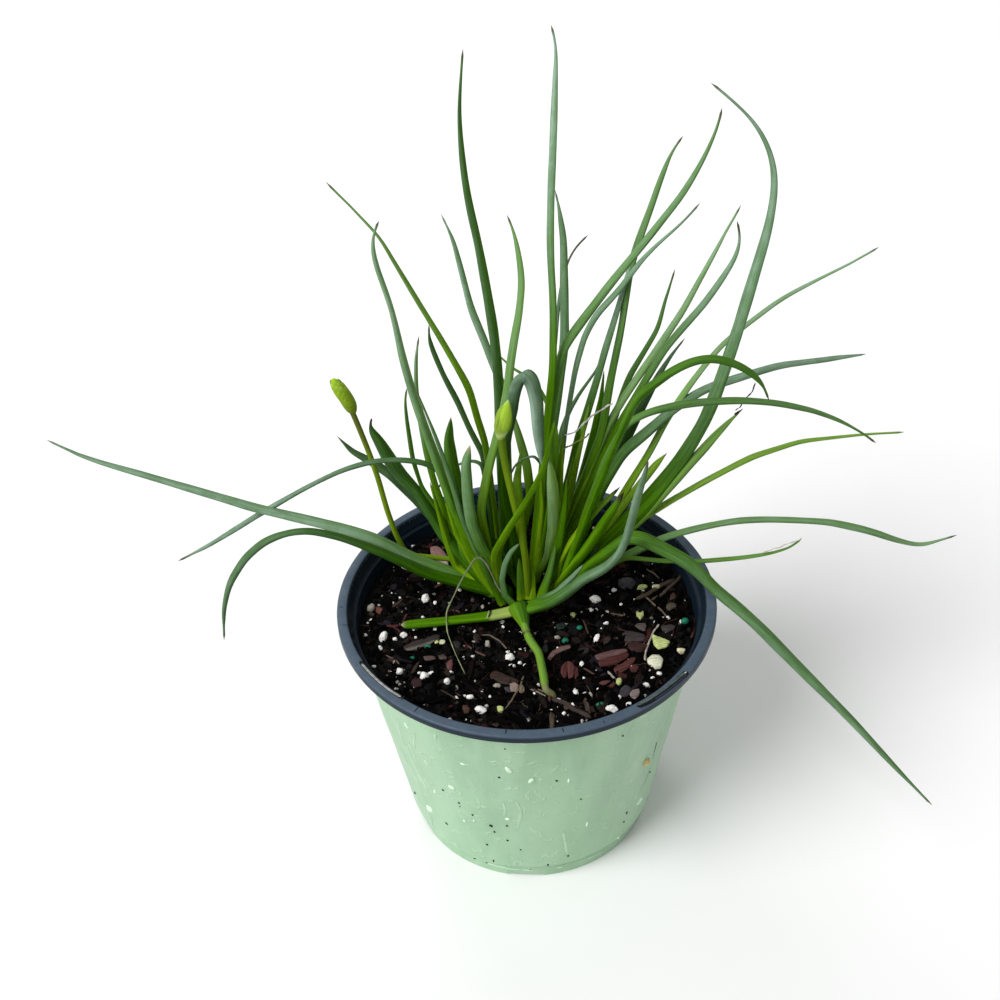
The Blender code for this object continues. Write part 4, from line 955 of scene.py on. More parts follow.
def strands(middles, radii, sides=5):
    """Round strands: rings of the radius about each middle line (count, rings, 3), level-framed."""
    ahead = unit(np.gradient(middles, axis=1))
    across = unit(np.cross(ahead, (0.03, 0.02, 1.0)))
    upper = np.cross(across, ahead)
    turns = even_turns(sides)
    ring = across[:, :, None] * np.cos(turns)[:, None] + upper[:, :, None] * np.sin(turns)[:, None]
    points = middles[:, :, None] + ring * radii[..., None, None]
    count, rows = middles.shape[:2]
    points = np.concatenate([points.reshape(count, -1, 3), middles[:, [0, -1]]], axis=1)
    one = closed_sleeve(np.zeros((rows, sides, 3)))[1]
    shift = (np.arange(count) * points.shape[1])[:, None, None]
    faces = [(corners[None] + shift).reshape(-1, corners.shape[1]) for corners in one]
    return points.reshape(-1, 3), faces


FIBRE_COUNT = 460
FIBRE_RINGS = 11
FIBRE_TONES = (
    (30, (0.0050, 0.0036, 0.0030)), (26, (0.014, 0.009, 0.007)), (14, (0.034, 0.018, 0.012)),
    (8, (0.060, 0.024, 0.018)), (6, (0.080, 0.055, 0.040)), (3, (0.15, 0.12, 0.095)),
)
along = np.linspace(-0.5, 0.5, FIBRE_RINGS)
starts = scattered(FIBRE_COUNT, draw, 66.0)
heading = draw.uniform(0.0, 2.0 * math.pi, FIBRE_COUNT)
length = draw.uniform(2.5, 13.0, FIBRE_COUNT)
bend = draw.uniform(-0.6, 0.6, FIBRE_COUNT)
twist = draw.uniform(-0.9, 0.9, FIBRE_COUNT)
aside = bend[:, None] * (along ** 2 - 0.1) + twist[:, None] * along * (along ** 2 - 0.16)
local = np.stack([length[:, None] * along, length[:, None] * aside], -1)
cosine, sine = np.cos(heading)[:, None], np.sin(heading)[:, None]
middles = np.stack([local[..., 0] * cosine - local[..., 1] * sine,
                    local[..., 0] * sine + local[..., 1] * cosine], -1)
middles += starts[:, None, :2]
reach = np.linalg.norm(middles, axis=2)
middles *= np.minimum(1.0, 69.5 / reach)[..., None]
lift = mix_height(middles[..., 0], middles[..., 1]) + draw.uniform(0.1, 0.9, FIBRE_COUNT)[:, None]
lift += draw.uniform(0.0, 1.6, FIBRE_COUNT)[:, None] * (2.0 * along) ** 2 * (along > 0.0)
middles = np.concatenate([middles, lift[..., None]], axis=2)
radii = draw.uniform(0.08, 0.30, FIBRE_COUNT)[:, None] * (1.0 - 1.2 * along ** 2)
points, faces = strands(middles, radii)
tints = drawn_tints(FIBRE_COUNT, draw, FIBRE_TONES, FIBRE_RINGS * 5 + 2)
new_piece("fibres", points, faces, loose, [("place", points), ("tint", tints)])

# Perlite, coated prills and pale husks: the grains that the view shows each lie at their own
# pixel, and smaller ones are scattered between them. Grains: pixel, width and height in pixels,
# and turn in degrees, where it isn't 0.
PERLITE = (
    (407, 568, 11, 5, 15), (391, 574, 3, 2), (409, 579, 3, 3), (425, 581, 3, 4), (400, 598, 3, 3),
    (393, 603, 2.5, 3), (425.5, 598.5, 8, 9), (434, 594, 4, 3), (435, 603, 4, 4), (379, 605, 3, 2),
    (372, 620, 5.5, 3.5), (368, 623, 2.5, 2), (373, 631, 2.5, 3), (383, 637, 8, 11, 25),
    (395, 639, 4.5, 4), (404, 635, 7, 6), (414, 632, 8, 6), (426, 630, 3, 3), (435, 630, 4, 5),
    (380, 648, 5, 5), (423, 617, 4, 2.5), (474.5, 631, 3.5, 3.5), (502, 622, 5, 4), (503, 627, 3, 3),
    (521, 633.5, 5, 4), (473, 656, 4, 3.5), (509.5, 657.5, 10, 9), (508.4, 652.4, 5, 4),
    (520, 650.4, 4.5, 3.5), (520, 663, 4, 4), (512, 666, 8, 4), (481, 664, 5.5, 5), (374, 666.5, 4, 3),
    (399.6, 671.4, 7, 6.5), (390.5, 672, 3, 2.5), (396, 678, 3, 3), (420.6, 666, 3, 3), (419, 673, 3, 3),
    (424, 676, 8, 8), (431, 674, 8, 5, -15), (451, 673, 5, 4), (447, 681, 7, 6.5), (470, 697, 7, 5),
    (490, 700, 3.5, 9), (480.4, 710, 12, 7.5), (395.4, 689, 2.5, 2.5), (401, 688.4, 2, 2),
    (459.6, 590, 4, 3), (614, 590, 5, 4.5), (610.5, 594, 4, 2), (595, 599.4, 11, 8, 20),
    (621.6, 604.7, 5, 4.5), (591.4, 610, 4.6, 4), (596, 610, 4.4, 3.6), (607, 612, 3.5, 3.5),
    (606, 623, 6, 3.5), (668, 618, 4, 4), (663.6, 618, 3, 3), (655, 622, 3, 3), (596.5, 638.4, 5, 10, 25),
    (581.7, 664, 4, 5), (575.7, 692.4, 5.5, 6), (558, 700, 5, 4), (564, 713.4, 4.5, 3.5),
    (611, 709, 13, 7.5, -8), (628.6, 704.5, 5, 5), (573, 705, 3.5, 4), (550.4, 710.5, 5, 2.5),
    (538.4, 685, 3.5, 3.5), (535, 633.5, 3, 3), (599, 689, 5, 2.5), (659.5, 674, 5.5, 5),
    (653, 678, 5, 3), (645.5, 685, 8, 5), (413, 546, 4, 3), (463, 627, 3, 2.4),
)
DULL_PERLITE = (
    (371, 608, 7.5, 10), (471, 629, 2.5, 3), (497, 630, 3, 3), (488, 624, 5, 2), (474, 642, 5, 3),
    (497, 686, 7, 5.5), (489, 604, 3, 3), (483, 607, 4, 5), (467.5, 575, 4, 4), (509.8, 596, 3, 8),
    (604.7, 616, 7, 4), (590.7, 695, 4, 5), (567, 623, 4, 3), (557, 637.6, 7, 4), (487.6, 644, 5, 8),
)
PRILLS = (
    (685, 621, 8, 7), (565, 641, 8, 7), (600, 704.5, 8, 5.6), (428, 647, 7, 6), (412, 659, 7, 6),
    (579.6, 627.7, 6, 5),
)
GRAIN_PER_PIXEL = 0.425


def to_mix(pixels, lift):
    """Where rays meet the mix at a lift over it: the height is found again at each new place."""
    pixels = np.array(pixels, float).reshape(-1, 2)
    heights = SOIL_Z
    for _ in range(5):
        spots = at_height(pixels, heights)
        heights = mix_height(spots[:, 0], spots[:, 1]) + lift
    return at_height(pixels, heights)


def seen_grains(table, draw, lumps, rough, tint):
    """Grains as wide and high as seen: balls set along the view's axes, with waves and roughness."""
    seen = turned_rows(table)
    sizes = 0.5 * GRAIN_PER_PIXEL * seen[:, [2, 3, 2]]
    sizes[:, 2] = np.minimum(sizes[:, 0], sizes[:, 1]) * 0.9
    places = to_mix(seen[:, :2], 0.55 * sizes[:, 1])
    shapes = rough_lumps(len(seen), draw, ROUND_POINTS, rough)
    shapes = shapes * (1.0 + lumps * waves(ROUND_POINTS + 3.0 * np.arange(len(seen))[:, None, None],
                                           1.5, 10, 51))[..., None]
    spin = np.radians(-seen[:, 4])[:, None]
    across = RIGHT * np.cos(spin) + UP * np.sin(spin)
    turns = np.stack([across, UP * np.cos(spin) - RIGHT * np.sin(spin), -AHEAD + 0.0 * across], axis=2)
    points, faces = copies(shapes, ROUND_FACES, places, sizes, turns)
    return one_tint(points, [faces], tint)


def pitted(name, roughness, low, strength):
    """A grain's material: its tint, dulled in small pores, which are pressed in too."""
    material, tree, shader = new_material(name, Roughness=roughness, Specular_IOR_Level=0.2)
    coords = own_coords(tree)
    pores = ramp(tree, mottled(tree, coords, 1500.0), 0.35, 1.0, 0.0, 0.7)
    tree.links.new(blend_colours(tree, pores, from_mark(tree, "tint", "Color"), low, 'MULTIPLY'),
                   shader.inputs["Base Color"])
    pressed(tree, shader, coords, 1300.0, strength)
    return material


perlite = pitted("perlite", 0.9, (0.62, 0.60, 0.56, 1.0), 0.6)
draw = np.random.default_rng(41)
bodies = [seen_grains(PERLITE, draw, 0.13, 0.07, (0.93, 0.92, 0.89)),
          seen_grains(DULL_PERLITE, draw, 0.13, 0.07, (0.36, 0.34, 0.29))]
SMALL_COUNT = 260
GRAIN_REACH = 69.0
BACK_Y = 38.0
GRAIN_TONES = ((3, (0.85, 0.84, 0.80)), (2, (0.45, 0.43, 0.38)), (2, (0.22, 0.20, 0.17)))
sizes = 0.5 * (draw.uniform(0.45, 1.0, (SMALL_COUNT, 1)) ** 2 * 1.7)
sizes = sizes * draw.uniform(0.7, 1.2, (SMALL_COUNT, 3))
places = scattered(SMALL_COUNT, draw, GRAIN_REACH)
hidden = (places[:, 1] > BACK_Y) & (draw.random(SMALL_COUNT) < 0.5)
sizes[hidden] *= 2.0
places[:, 2] += 0.6 * sizes[:, 2]
shapes = rough_lumps(SMALL_COUNT, draw, BALL_POINTS, 0.26)
points, faces = copies(shapes, BALL_FACES, places, sizes, random_turns(SMALL_COUNT, draw, 0.3))
tints = drawn_tints(SMALL_COUNT, draw, GRAIN_TONES, len(BALL_POINTS)).clip(0.0, 0.93)
bodies.append((points, [faces], (points, tints)))
joined("perlite_grains", bodies, perlite, sharp_deg=50.0)

coat = pitted("coated_prill", 0.35, (0.55, 0.62, 0.55, 1.0), 0.15)
joined("prills", [seen_grains(PRILLS, draw, 0.03, 0.004, (0.012, 0.17, 0.10))], coat)

# Bark chips, seed husks and sticks that lie loose on the mix: each follows its own outline in
# the view, a thin curved scale with ridges along its grain.


def flake(outline, lift, thick, grain_deg, tint, arch=0.0, ridge=0.10, lean=(0.0, 0.0)):
    """A scale with a seen outline: rings shrink to its middle on a lower and an upper sheet.

    The lower sheet rises by arch·(1 - (v / half width)²) + lean·(u, v), and ridges are sines
    across the grain. The upper lies thick·(0.4 + 0.6·root(1 - share⁴)) over it.
    """
    pixels = np.array(outline, float).reshape(-1, 2)
    level = to_mix([pixels.mean(axis=0)], lift)[0, 2]
    edge = at_height(pixels, level)
    edge = resample(np.vstack([edge, edge[:1]]), 49)[:-1]
    edge = 0.5 * edge + 0.25 * np.roll(edge, 1, axis=0) + 0.25 * np.roll(edge, -1, axis=0)
    shares = np.array([0.02, 0.16, 0.32, 0.48, 0.62, 0.75, 0.86, 0.94, 1.0])[:, None]
    middle = edge.mean(axis=0)
    rings = middle + shares[..., None] * (edge - middle)
    grain = heading_of(grain_deg)
    off = rings[..., :2] - middle[:2]
    u, v = off @ grain, off @ np.array([-grain[1], grain[0]])
    half = np.abs(v).max()
    rise = arch * (1.0 - (v / half) ** 2) + lean[0] * u + lean[1] * v
    ridges = np.sin(4.2 * v + 0.7 * np.sin(0.9 * u)) + 0.6 * np.sin(9.7 * v + 1.3)
    ridges = ridge * ridges * (1.0 - shares ** 6)
    lower, upper = rings.copy(), rings.copy()
    lower[..., 2] += rise
    upper[..., 2] += rise + ridges + thick * (0.4 + 0.6 * np.sqrt(1.0 - shares ** 4))
    points, faces = closed_sleeve(np.concatenate([lower, upper[::-1]]))
    place = [np.concatenate([*way, *way[::-1], [0.0, 0.0]]) for way in (u, v)]
    place = np.column_stack([*place, np.full(len(points), 7.0 * middle[0])])
    return one_tint(points, faces, tint, place)


def oval(px, py, wide, high, turn_deg=0.0, seed=1):
    """A bit's seven corners: (wide·cos t, high·sin t) halves, turned, each pushed in or out."""
    t = 2.0 * math.pi * (np.arange(7) + 0.25 * np.sin(5.0 * seed + np.arange(7))) / 7.0
    swell = 1.06 + 0.16 * np.sin(2.0 * t + seed) + 0.12 * np.sin(3.0 * t + 2.3 * seed)
    x, y = 0.5 * wide * np.cos(t) * swell, 0.5 * high * np.sin(t) * swell
    cosine, sine = heading_of(turn_deg)
    return np.column_stack([px + x * cosine - y * sine, py + x * sine + y * cosine])


bark = tinted("bark", 0.7, 0.25)
husk = tinted("pale_husk", 0.6, 0.25)
RED = (0.085, 0.022, 0.020)
chip_pieces = {
    ("chip_pink", "bark_chip_pink", "bark_pink"): (
        flake((430, 549, 437, 547, 443, 551, 448, 558, 449, 566, 444, 568, 437, 563, 431, 556),
              0.3, 1.3, -58.0, (0.36, 0.19, 0.18), arch=0.5),
        flake((437, 557, 441, 556, 447, 561, 449, 567, 445, 568.5, 440, 564), 0.9, 1.0, -50.0,
              (0.62, 0.48, 0.45), arch=0.2)),
    ("chip_brown", "bark_chip_brown", "bark_brown"): (
        flake((489.5, 676, 493, 672, 499, 671, 505, 676, 513, 679, 520, 682, 516, 686.5, 507, 687, 501, 684,
               496, 681.5, 491, 680), 0.3, 1.0, -20.0, (0.040, 0.021, 0.015), arch=0.3),
        flake((508, 684, 515, 683, 519, 686, 517, 692, 511, 692), 0.9, 0.7, 30.0, (0.32, 0.24, 0.20),
              arch=0.2)),
    ("chip_grey", "bark_chip_grey", "bark_grey"): (
        flake((618, 581, 624, 578, 632, 579, 636, 584, 632, 589, 624, 590, 618, 587), 0.3, 1.0, 20.0,
              (0.050, 0.048, 0.060), arch=0.3),
        flake((620, 580, 627, 577.5, 633, 580, 630, 584, 622, 584.5), 1.3, 0.6, 20.0,
              (0.090, 0.085, 0.095), arch=0.1)),
    ("husk_right", "husk_red_right", "husk_red"): (
        flake((594, 657, 603, 654, 614, 651, 626, 650, 628, 653, 617, 657, 605, 660, 597, 660.5),
              1.2, 0.7, 12.0, (0.15, 0.075, 0.075), arch=0.6, lean=(0.0, 0.15)),
        flake((598, 663, 608, 659, 620, 655, 629, 654, 628, 659, 617, 664, 606, 667, 599, 667),
              0.8, 0.7, 14.0, RED, arch=0.7, lean=(0.0, 0.1)),
        flake((613, 670, 622, 665, 630, 659, 635, 657.5, 636, 661, 630, 668, 622, 673, 615, 674),
              0.5, 0.7, 25.0, (0.11, 0.035, 0.030), arch=0.7),
        flake((629, 667, 634, 664.5, 639, 667, 637, 672, 631, 673), 0.4, 0.6, 10.0, RED, arch=0.3)),
    ("husk_front", "husk_red_front", "husk_red"): (
        flake((561, 668, 566.5, 662.5, 568.5, 668, 568, 677, 563.5, 679, 560.5, 674), 0.7, 0.8, 75.0,
              (0.10, 0.030, 0.028), arch=0.5, lean=(0.0, 0.2)),
        flake((567, 662, 573, 664, 575.5, 671, 573, 678.5, 568.5, 680, 567.5, 671), 1.0, 0.8, 85.0,
              (0.13, 0.042, 0.040), arch=0.6),
        flake((573, 665.5, 578, 669, 579, 676, 575, 680, 573.5, 673), 0.5, 0.7, 100.0, RED, arch=0.3)),
}
for (name, node, slot), bodies in chip_pieces.items():
    piece = joined(name, bodies, bark, sharp_deg=50.0)
    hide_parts(node)

# Flat bits of bark in other colours, by outline or as rough ovals, and the pale seed husks.
# Bits: outline, lift, thickness, way of the grain in degrees, and tint.
VIOLET = (0.055, 0.045, 0.058)
BARK_BITS = (
    (oval(637, 648, 17, 11, 0, 1), 0.6, 1.2, 0, (0.045, 0.016, 0.014)),
    (oval(607.6, 684.3, 15, 7, 10, 2), 0.8, 0.8, 0, (0.105, 0.036, 0.034)),
    (oval(625, 692, 12, 12, 0, 3), 0.5, 0.8, 40, VIOLET),
    (oval(635, 694, 12, 8, -20, 4), 1.2, 0.6, 10, (0.24, 0.19, 0.18)),
    (oval(641, 627.7, 14, 7, 0, 5), 0.5, 1, 0, (0.105, 0.083, 0.075)),
    (oval(634, 637.6, 25, 10, 0, 6), 0.3, 1, 0, (0.05, 0.036, 0.038)),
    (oval(668, 629, 14, 7, -10, 7), 0.4, 1, 0, (0.052, 0.046, 0.042)),
    (oval(673, 598, 6, 9, 0, 8), 0.6, 0.9, 60, (0.07, 0.032, 0.022)),
    (oval(671, 607, 10, 7, 0, 9), 0.6, 0.9, 0, (0.095, 0.078, 0.054)),
    (oval(450, 665.6, 7, 10, 0, 10), 0.8, 0.8, 60, (0.155, 0.058, 0.06)),
    (oval(417, 683.7, 13, 8, 0, 11), 0.4, 0.9, 0, (0.034, 0.012, 0.012)),
    (oval(466, 710, 9, 7, 20, 12), 0.5, 0.9, 0, (0.075, 0.035, 0.02)),
    ((375, 608, 378.5, 607, 384, 611, 390, 614, 388.5, 618.5, 382, 616, 376, 613), 1, 1, -30, (0.18,
     0.055, 0.042)),
    ((403, 648, 412, 643, 424, 639, 438, 634.5, 441, 637.5, 430, 643, 416, 648, 406, 651), 1, 0.7, 18,
     (0.04, 0.03, 0.028)),
    ((404, 649.5, 418, 646.6, 430, 642.5, 440.5, 638.4, 430, 645, 418, 649.4, 407, 651.4), 1.5, 0.5, 18,
     (0.16, 0.135, 0.12)),
    ((423, 657, 434, 656, 446, 656.4, 447, 659.5, 436, 660.5, 425, 661), 1, 0.6, 0, (0.11, 0.075, 0.068)),
    (oval(508, 689.5, 8, 7, 0, 13), 0.4, 0.8, 0, VIOLET),
    (oval(522, 690, 5, 9, 10, 14), 0.9, 0.6, 70, (0.2, 0.15, 0.11)),
    ((547, 659, 552, 652, 560, 647.5, 570, 645.5, 571, 649, 563, 651.5, 555, 656, 550, 661), 1.2, 0.7, 25,
     (0.19, 0.115, 0.1)),
    (oval(561.5, 627, 10, 8, 0, 15), 0.4, 0.9, 0, (0.01, 0.026, 0.02)),
    (oval(545, 650, 7, 8, 0, 16), 0.6, 1, 40, (0.022, 0.03, 0.026)),
    (oval(436, 616, 8, 4, -15, 17), 0.8, 0.6, 0, (0.12, 0.032, 0.026)),
    (oval(457, 645, 9, 6, 20, 18), 0.5, 0.8, 0, (0.03, 0.022, 0.022)),
    (oval(394, 661, 12, 6, 15, 19), 0.5, 0.8, 0, (0.028, 0.018, 0.016)),
    (oval(585, 651, 12, 8, -15, 20), 0.5, 0.9, 0, (0.022, 0.016, 0.017)),
    (oval(540, 667, 10, 6, 10, 21), 0.5, 0.8, 0, (0.026, 0.018, 0.016)),
    (oval(607, 641, 9, 6, -30, 22), 0.5, 0.8, 0, (0.034, 0.026, 0.024)),
)
bodies = [flake(*bit, arch=0.35) for bit in BARK_BITS]
joined("bark_bits", bodies, bark, sharp_deg=50.0)

LIME = (0.62, 0.72, 0.27)
CREAM = (0.78, 0.76, 0.50)
HUSK_BITS = (
    ((651.5, 635, 657, 638, 664, 640.5, 670.5, 643.5, 667, 648, 658, 650, 653.5, 646), 0.8, 1.3, 15, LIME),
    ((646.5, 661, 652, 655.5, 659, 656, 663.5, 661, 661.5, 668.5, 655, 670, 648, 665), 0.8, 1.3, 10,
     (0.86, 0.88, 0.66)),
    (oval(681, 652, 8, 5.5, 0, 1), 0.8, 1.2, 0, CREAM),
    (oval(619, 682.5, 5.5, 6.5, 0, 2), 0.8, 1.4, 0, LIME),
    ((636, 613, 640, 615, 643.5, 612.5, 644, 617, 640, 622, 636.5, 619), 0.7, 1.3, 0, LIME),
    (oval(642, 588, 10, 4.2, -5, 3), 0.8, 1.1, 0, LIME),
    (oval(656, 588, 9, 4.2, 5, 4), 0.8, 1.1, 0, CREAM), (oval(573, 616, 6, 4.5, 0, 5), 0.8, 1.1, 0, LIME),
    (oval(500.4, 710.5, 7, 6, 0, 6), 0.8, 1.4, 0, LIME),
    (oval(436.6, 643.8, 5, 5, 0, 7), 1.4, 1.2, 0, LIME),
    (oval(442.4, 643.4, 6, 5, 0, 8), 1.4, 1.2, 0, CREAM),
)
bodies = [flake(*bit, arch=0.5, ridge=0.06) for bit in HUSK_BITS]
joined("pale_husks", bodies, husk, sharp_deg=60.0)

# Sticks, a twig, bark strands and rootlets that lie on the mix: uneven round rods, tapered at
# both ends. Strands: route in pixels from end to end, lift, width and tint.
STICK_RINGS = 36


def sleeve_rows(count, sides):
    """The ring number of each point of a closed sleeve: the sides of each ring, then both ends."""
    return np.concatenate([np.repeat(np.arange(count), sides), [0, count - 1]])


def sleeve_round(values, count):
    """Values round a ring for each point of a closed sleeve, and 0 at both ends."""
    return np.concatenate([np.tile(values, count), [0.0, 0.0]])


def wandering(path, span, seed):
    """Three seeded waves, one for each axis, that bend a path."""
    return np.stack([waves(path + shift, span, 6, seed) for shift in (0.0, 40.0, 80.0)], -1)


def stick(route, lift, width, tint):
    """A stick or strand on the mix along its seen route, tapered at both ends, a little uneven."""
    path = eased(resample(to_mix(route, lift), STICK_RINGS), 3)
    path += 0.15 * wandering(path, 6.0, 61)
    widths = width * both_ends(path, 1.5 * width) * (1.0 + 0.12 * waves(path, 3.0, 8, 62))
    points, faces = tube(path, widths, 0.9 * widths)
    rows = sleeve_rows(STICK_RINGS, len(ROUND_SECTION))
    across = sleeve_round(12.0 * ROUND_SECTION[:, 0], STICK_RINGS)
    place = np.column_stack([arc_lengths(path)[rows], across, np.full(len(rows), 5.0 * path[0, 0])])
    return one_tint(points, faces, tint, place)


stick_pieces = {
    ("twig_at_front", "twig_front"): (
        stick((547, 698, 556, 700, 566, 704, 575, 710, 584, 714, 592, 718), 0.9, 2.1,
              (0.060, 0.042, 0.036)),
        stick((550, 701, 549.6, 696, 550.4, 690), 1.8, 1.5, (0.095, 0.036, 0.030))),
    ("stick_at_right", "stick_right"): (
        stick((636, 600, 645, 595.5, 656, 589, 664, 584.5, 674, 579), 1.0, 2.2, (0.10, 0.068, 0.045)),),
}
for (name, node), bodies in stick_pieces.items():
    piece = joined(name, bodies, bark)
    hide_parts(node)

TAN = (0.21, 0.155, 0.115)
UMBER = (0.045, 0.026, 0.020)
STRANDS = (
    ((686.4, 572.8, 674, 583, 660.7, 595, 651.4, 600.3), 0.9, 1.5, (0.12, 0.085, 0.06)),
    ((645, 597, 656, 606, 667, 616), 0.9, 0.8, TAN), ((646, 569, 653, 573, 659.5, 579), 0.9, 0.7, TAN),
    ((700.4, 618.3, 697, 628, 691, 638.2), 0.9, 1.1, (0.13, 0.038, 0.03)),
    ((659.5, 623.6, 654, 631, 650.2, 639.3, 646, 650, 645, 660.4), 1.3, 0.9, (0.62, 0.58, 0.5)),
    ((530, 689.5, 538, 692, 545.8, 696.5), 0.9, 0.6, (0.36, 0.3, 0.23)),
    ((534, 687.5, 541, 690.5, 547, 694), 0.9, 0.5, (0.3, 0.25, 0.19)),
    ((384.7, 625.5, 393, 626, 401, 624.8, 405, 619, 407, 613), 1, 1, (0.105, 0.026, 0.024)),
    ((393, 626, 398, 630, 401, 634), 1, 0.7, (0.105, 0.026, 0.024)),
    ((388.8, 610, 400, 601, 413.9, 594.4), 1, 1, (0.08, 0.04, 0.026)),
    ((435, 588, 440, 585, 444, 582), 1, 1.2, (0.12, 0.045, 0.032)),
    ((450.6, 609.6, 459, 612, 468.7, 614), 0.9, 0.9, (0.12, 0.05, 0.04)),
    ((352, 626.5, 361, 625.6, 370, 626.5), 0.9, 0.6, UMBER),
    ((466.4, 640.5, 467, 646, 475, 651, 485.6, 656.3), 0.9, 0.8, (0.14, 0.085, 0.065)),
    ((472.8, 640.5, 481, 636, 489.7, 634.7, 499, 641, 507, 648.7), 0.9, 0.7, TAN),
    ((524.7, 675.5, 521, 683, 517.7, 690.7, 511, 700, 504.9, 709.4), 1.4, 0.8, TAN),
    ((583, 668, 589, 671, 595, 674.4), 0.9, 0.8, (0.12, 0.06, 0.045)),
    ((607, 671, 612, 675, 616.4, 679.6), 1.2, 0.9, (0.52, 0.47, 0.4)),
    ((610.5, 613, 620, 615, 629, 617), 0.9, 0.9, TAN),
    ((583, 619.5, 586, 628, 591.8, 638.2), 0.9, 0.8, (0.1, 0.06, 0.045)),
    ((525, 586, 545, 583, 560, 586), 0.9, 0.5, UMBER), ((618, 628, 631, 633, 640, 641), 0.9, 0.6, UMBER),
    ((440, 690, 452, 696, 460, 704), 0.9, 0.7, UMBER), ((386, 655, 396, 660, 402, 668), 0.9, 0.6, TAN),
)
points, faces, marks = gathered([stick(*strand) for strand in STRANDS])
new_piece("strands_on_mix", held_inside(points), faces, bark, list(zip(("place", "tint"), marks)))

# The leaves: thick, channelled blades of one clump, in five shoots. Each shoot is one piece,
# lofted leaf by leaf along the same midlines as its solid, with far more rings and corners.
CROWNS = {
    "shoot_left": (-10.0, 13.5, 5.6),
    "shoot_back_left": (-8.0, 30.0, 5.0),
    "shoot_centre": (1.0, 19.5, 5.2),
    "shoot_back_right": (10.0, 32.0, 5.6),
    "shoot_right": (11.5, 12.5, 5.8),
}
CROWN_RISE = 3.0
CROWN_NECK = 0.78
ROOT_RISE = 2.6
ROOT_SPREAD = 0.4
HOLE_DEPTH = 13.0
PATH_SAMPLES = 121
PATH_PASSES = 12
KEEL = 0.8
LEAST_WIDTH = 0.8
LEAST_DEPTH = 1.25
BASE_SWELL = 0.34
SWELL_FADE = 8.0
TAPER_CURVE = 0.75
STATIONS = (0.4, 0.6, 0.8, 0.93)
SHARP, FULL, BLUNT = 2.8, 4.5, 9.0
PLAIN = (1, 1, 1, 1)
STILL = (0, 0, 0, 0)
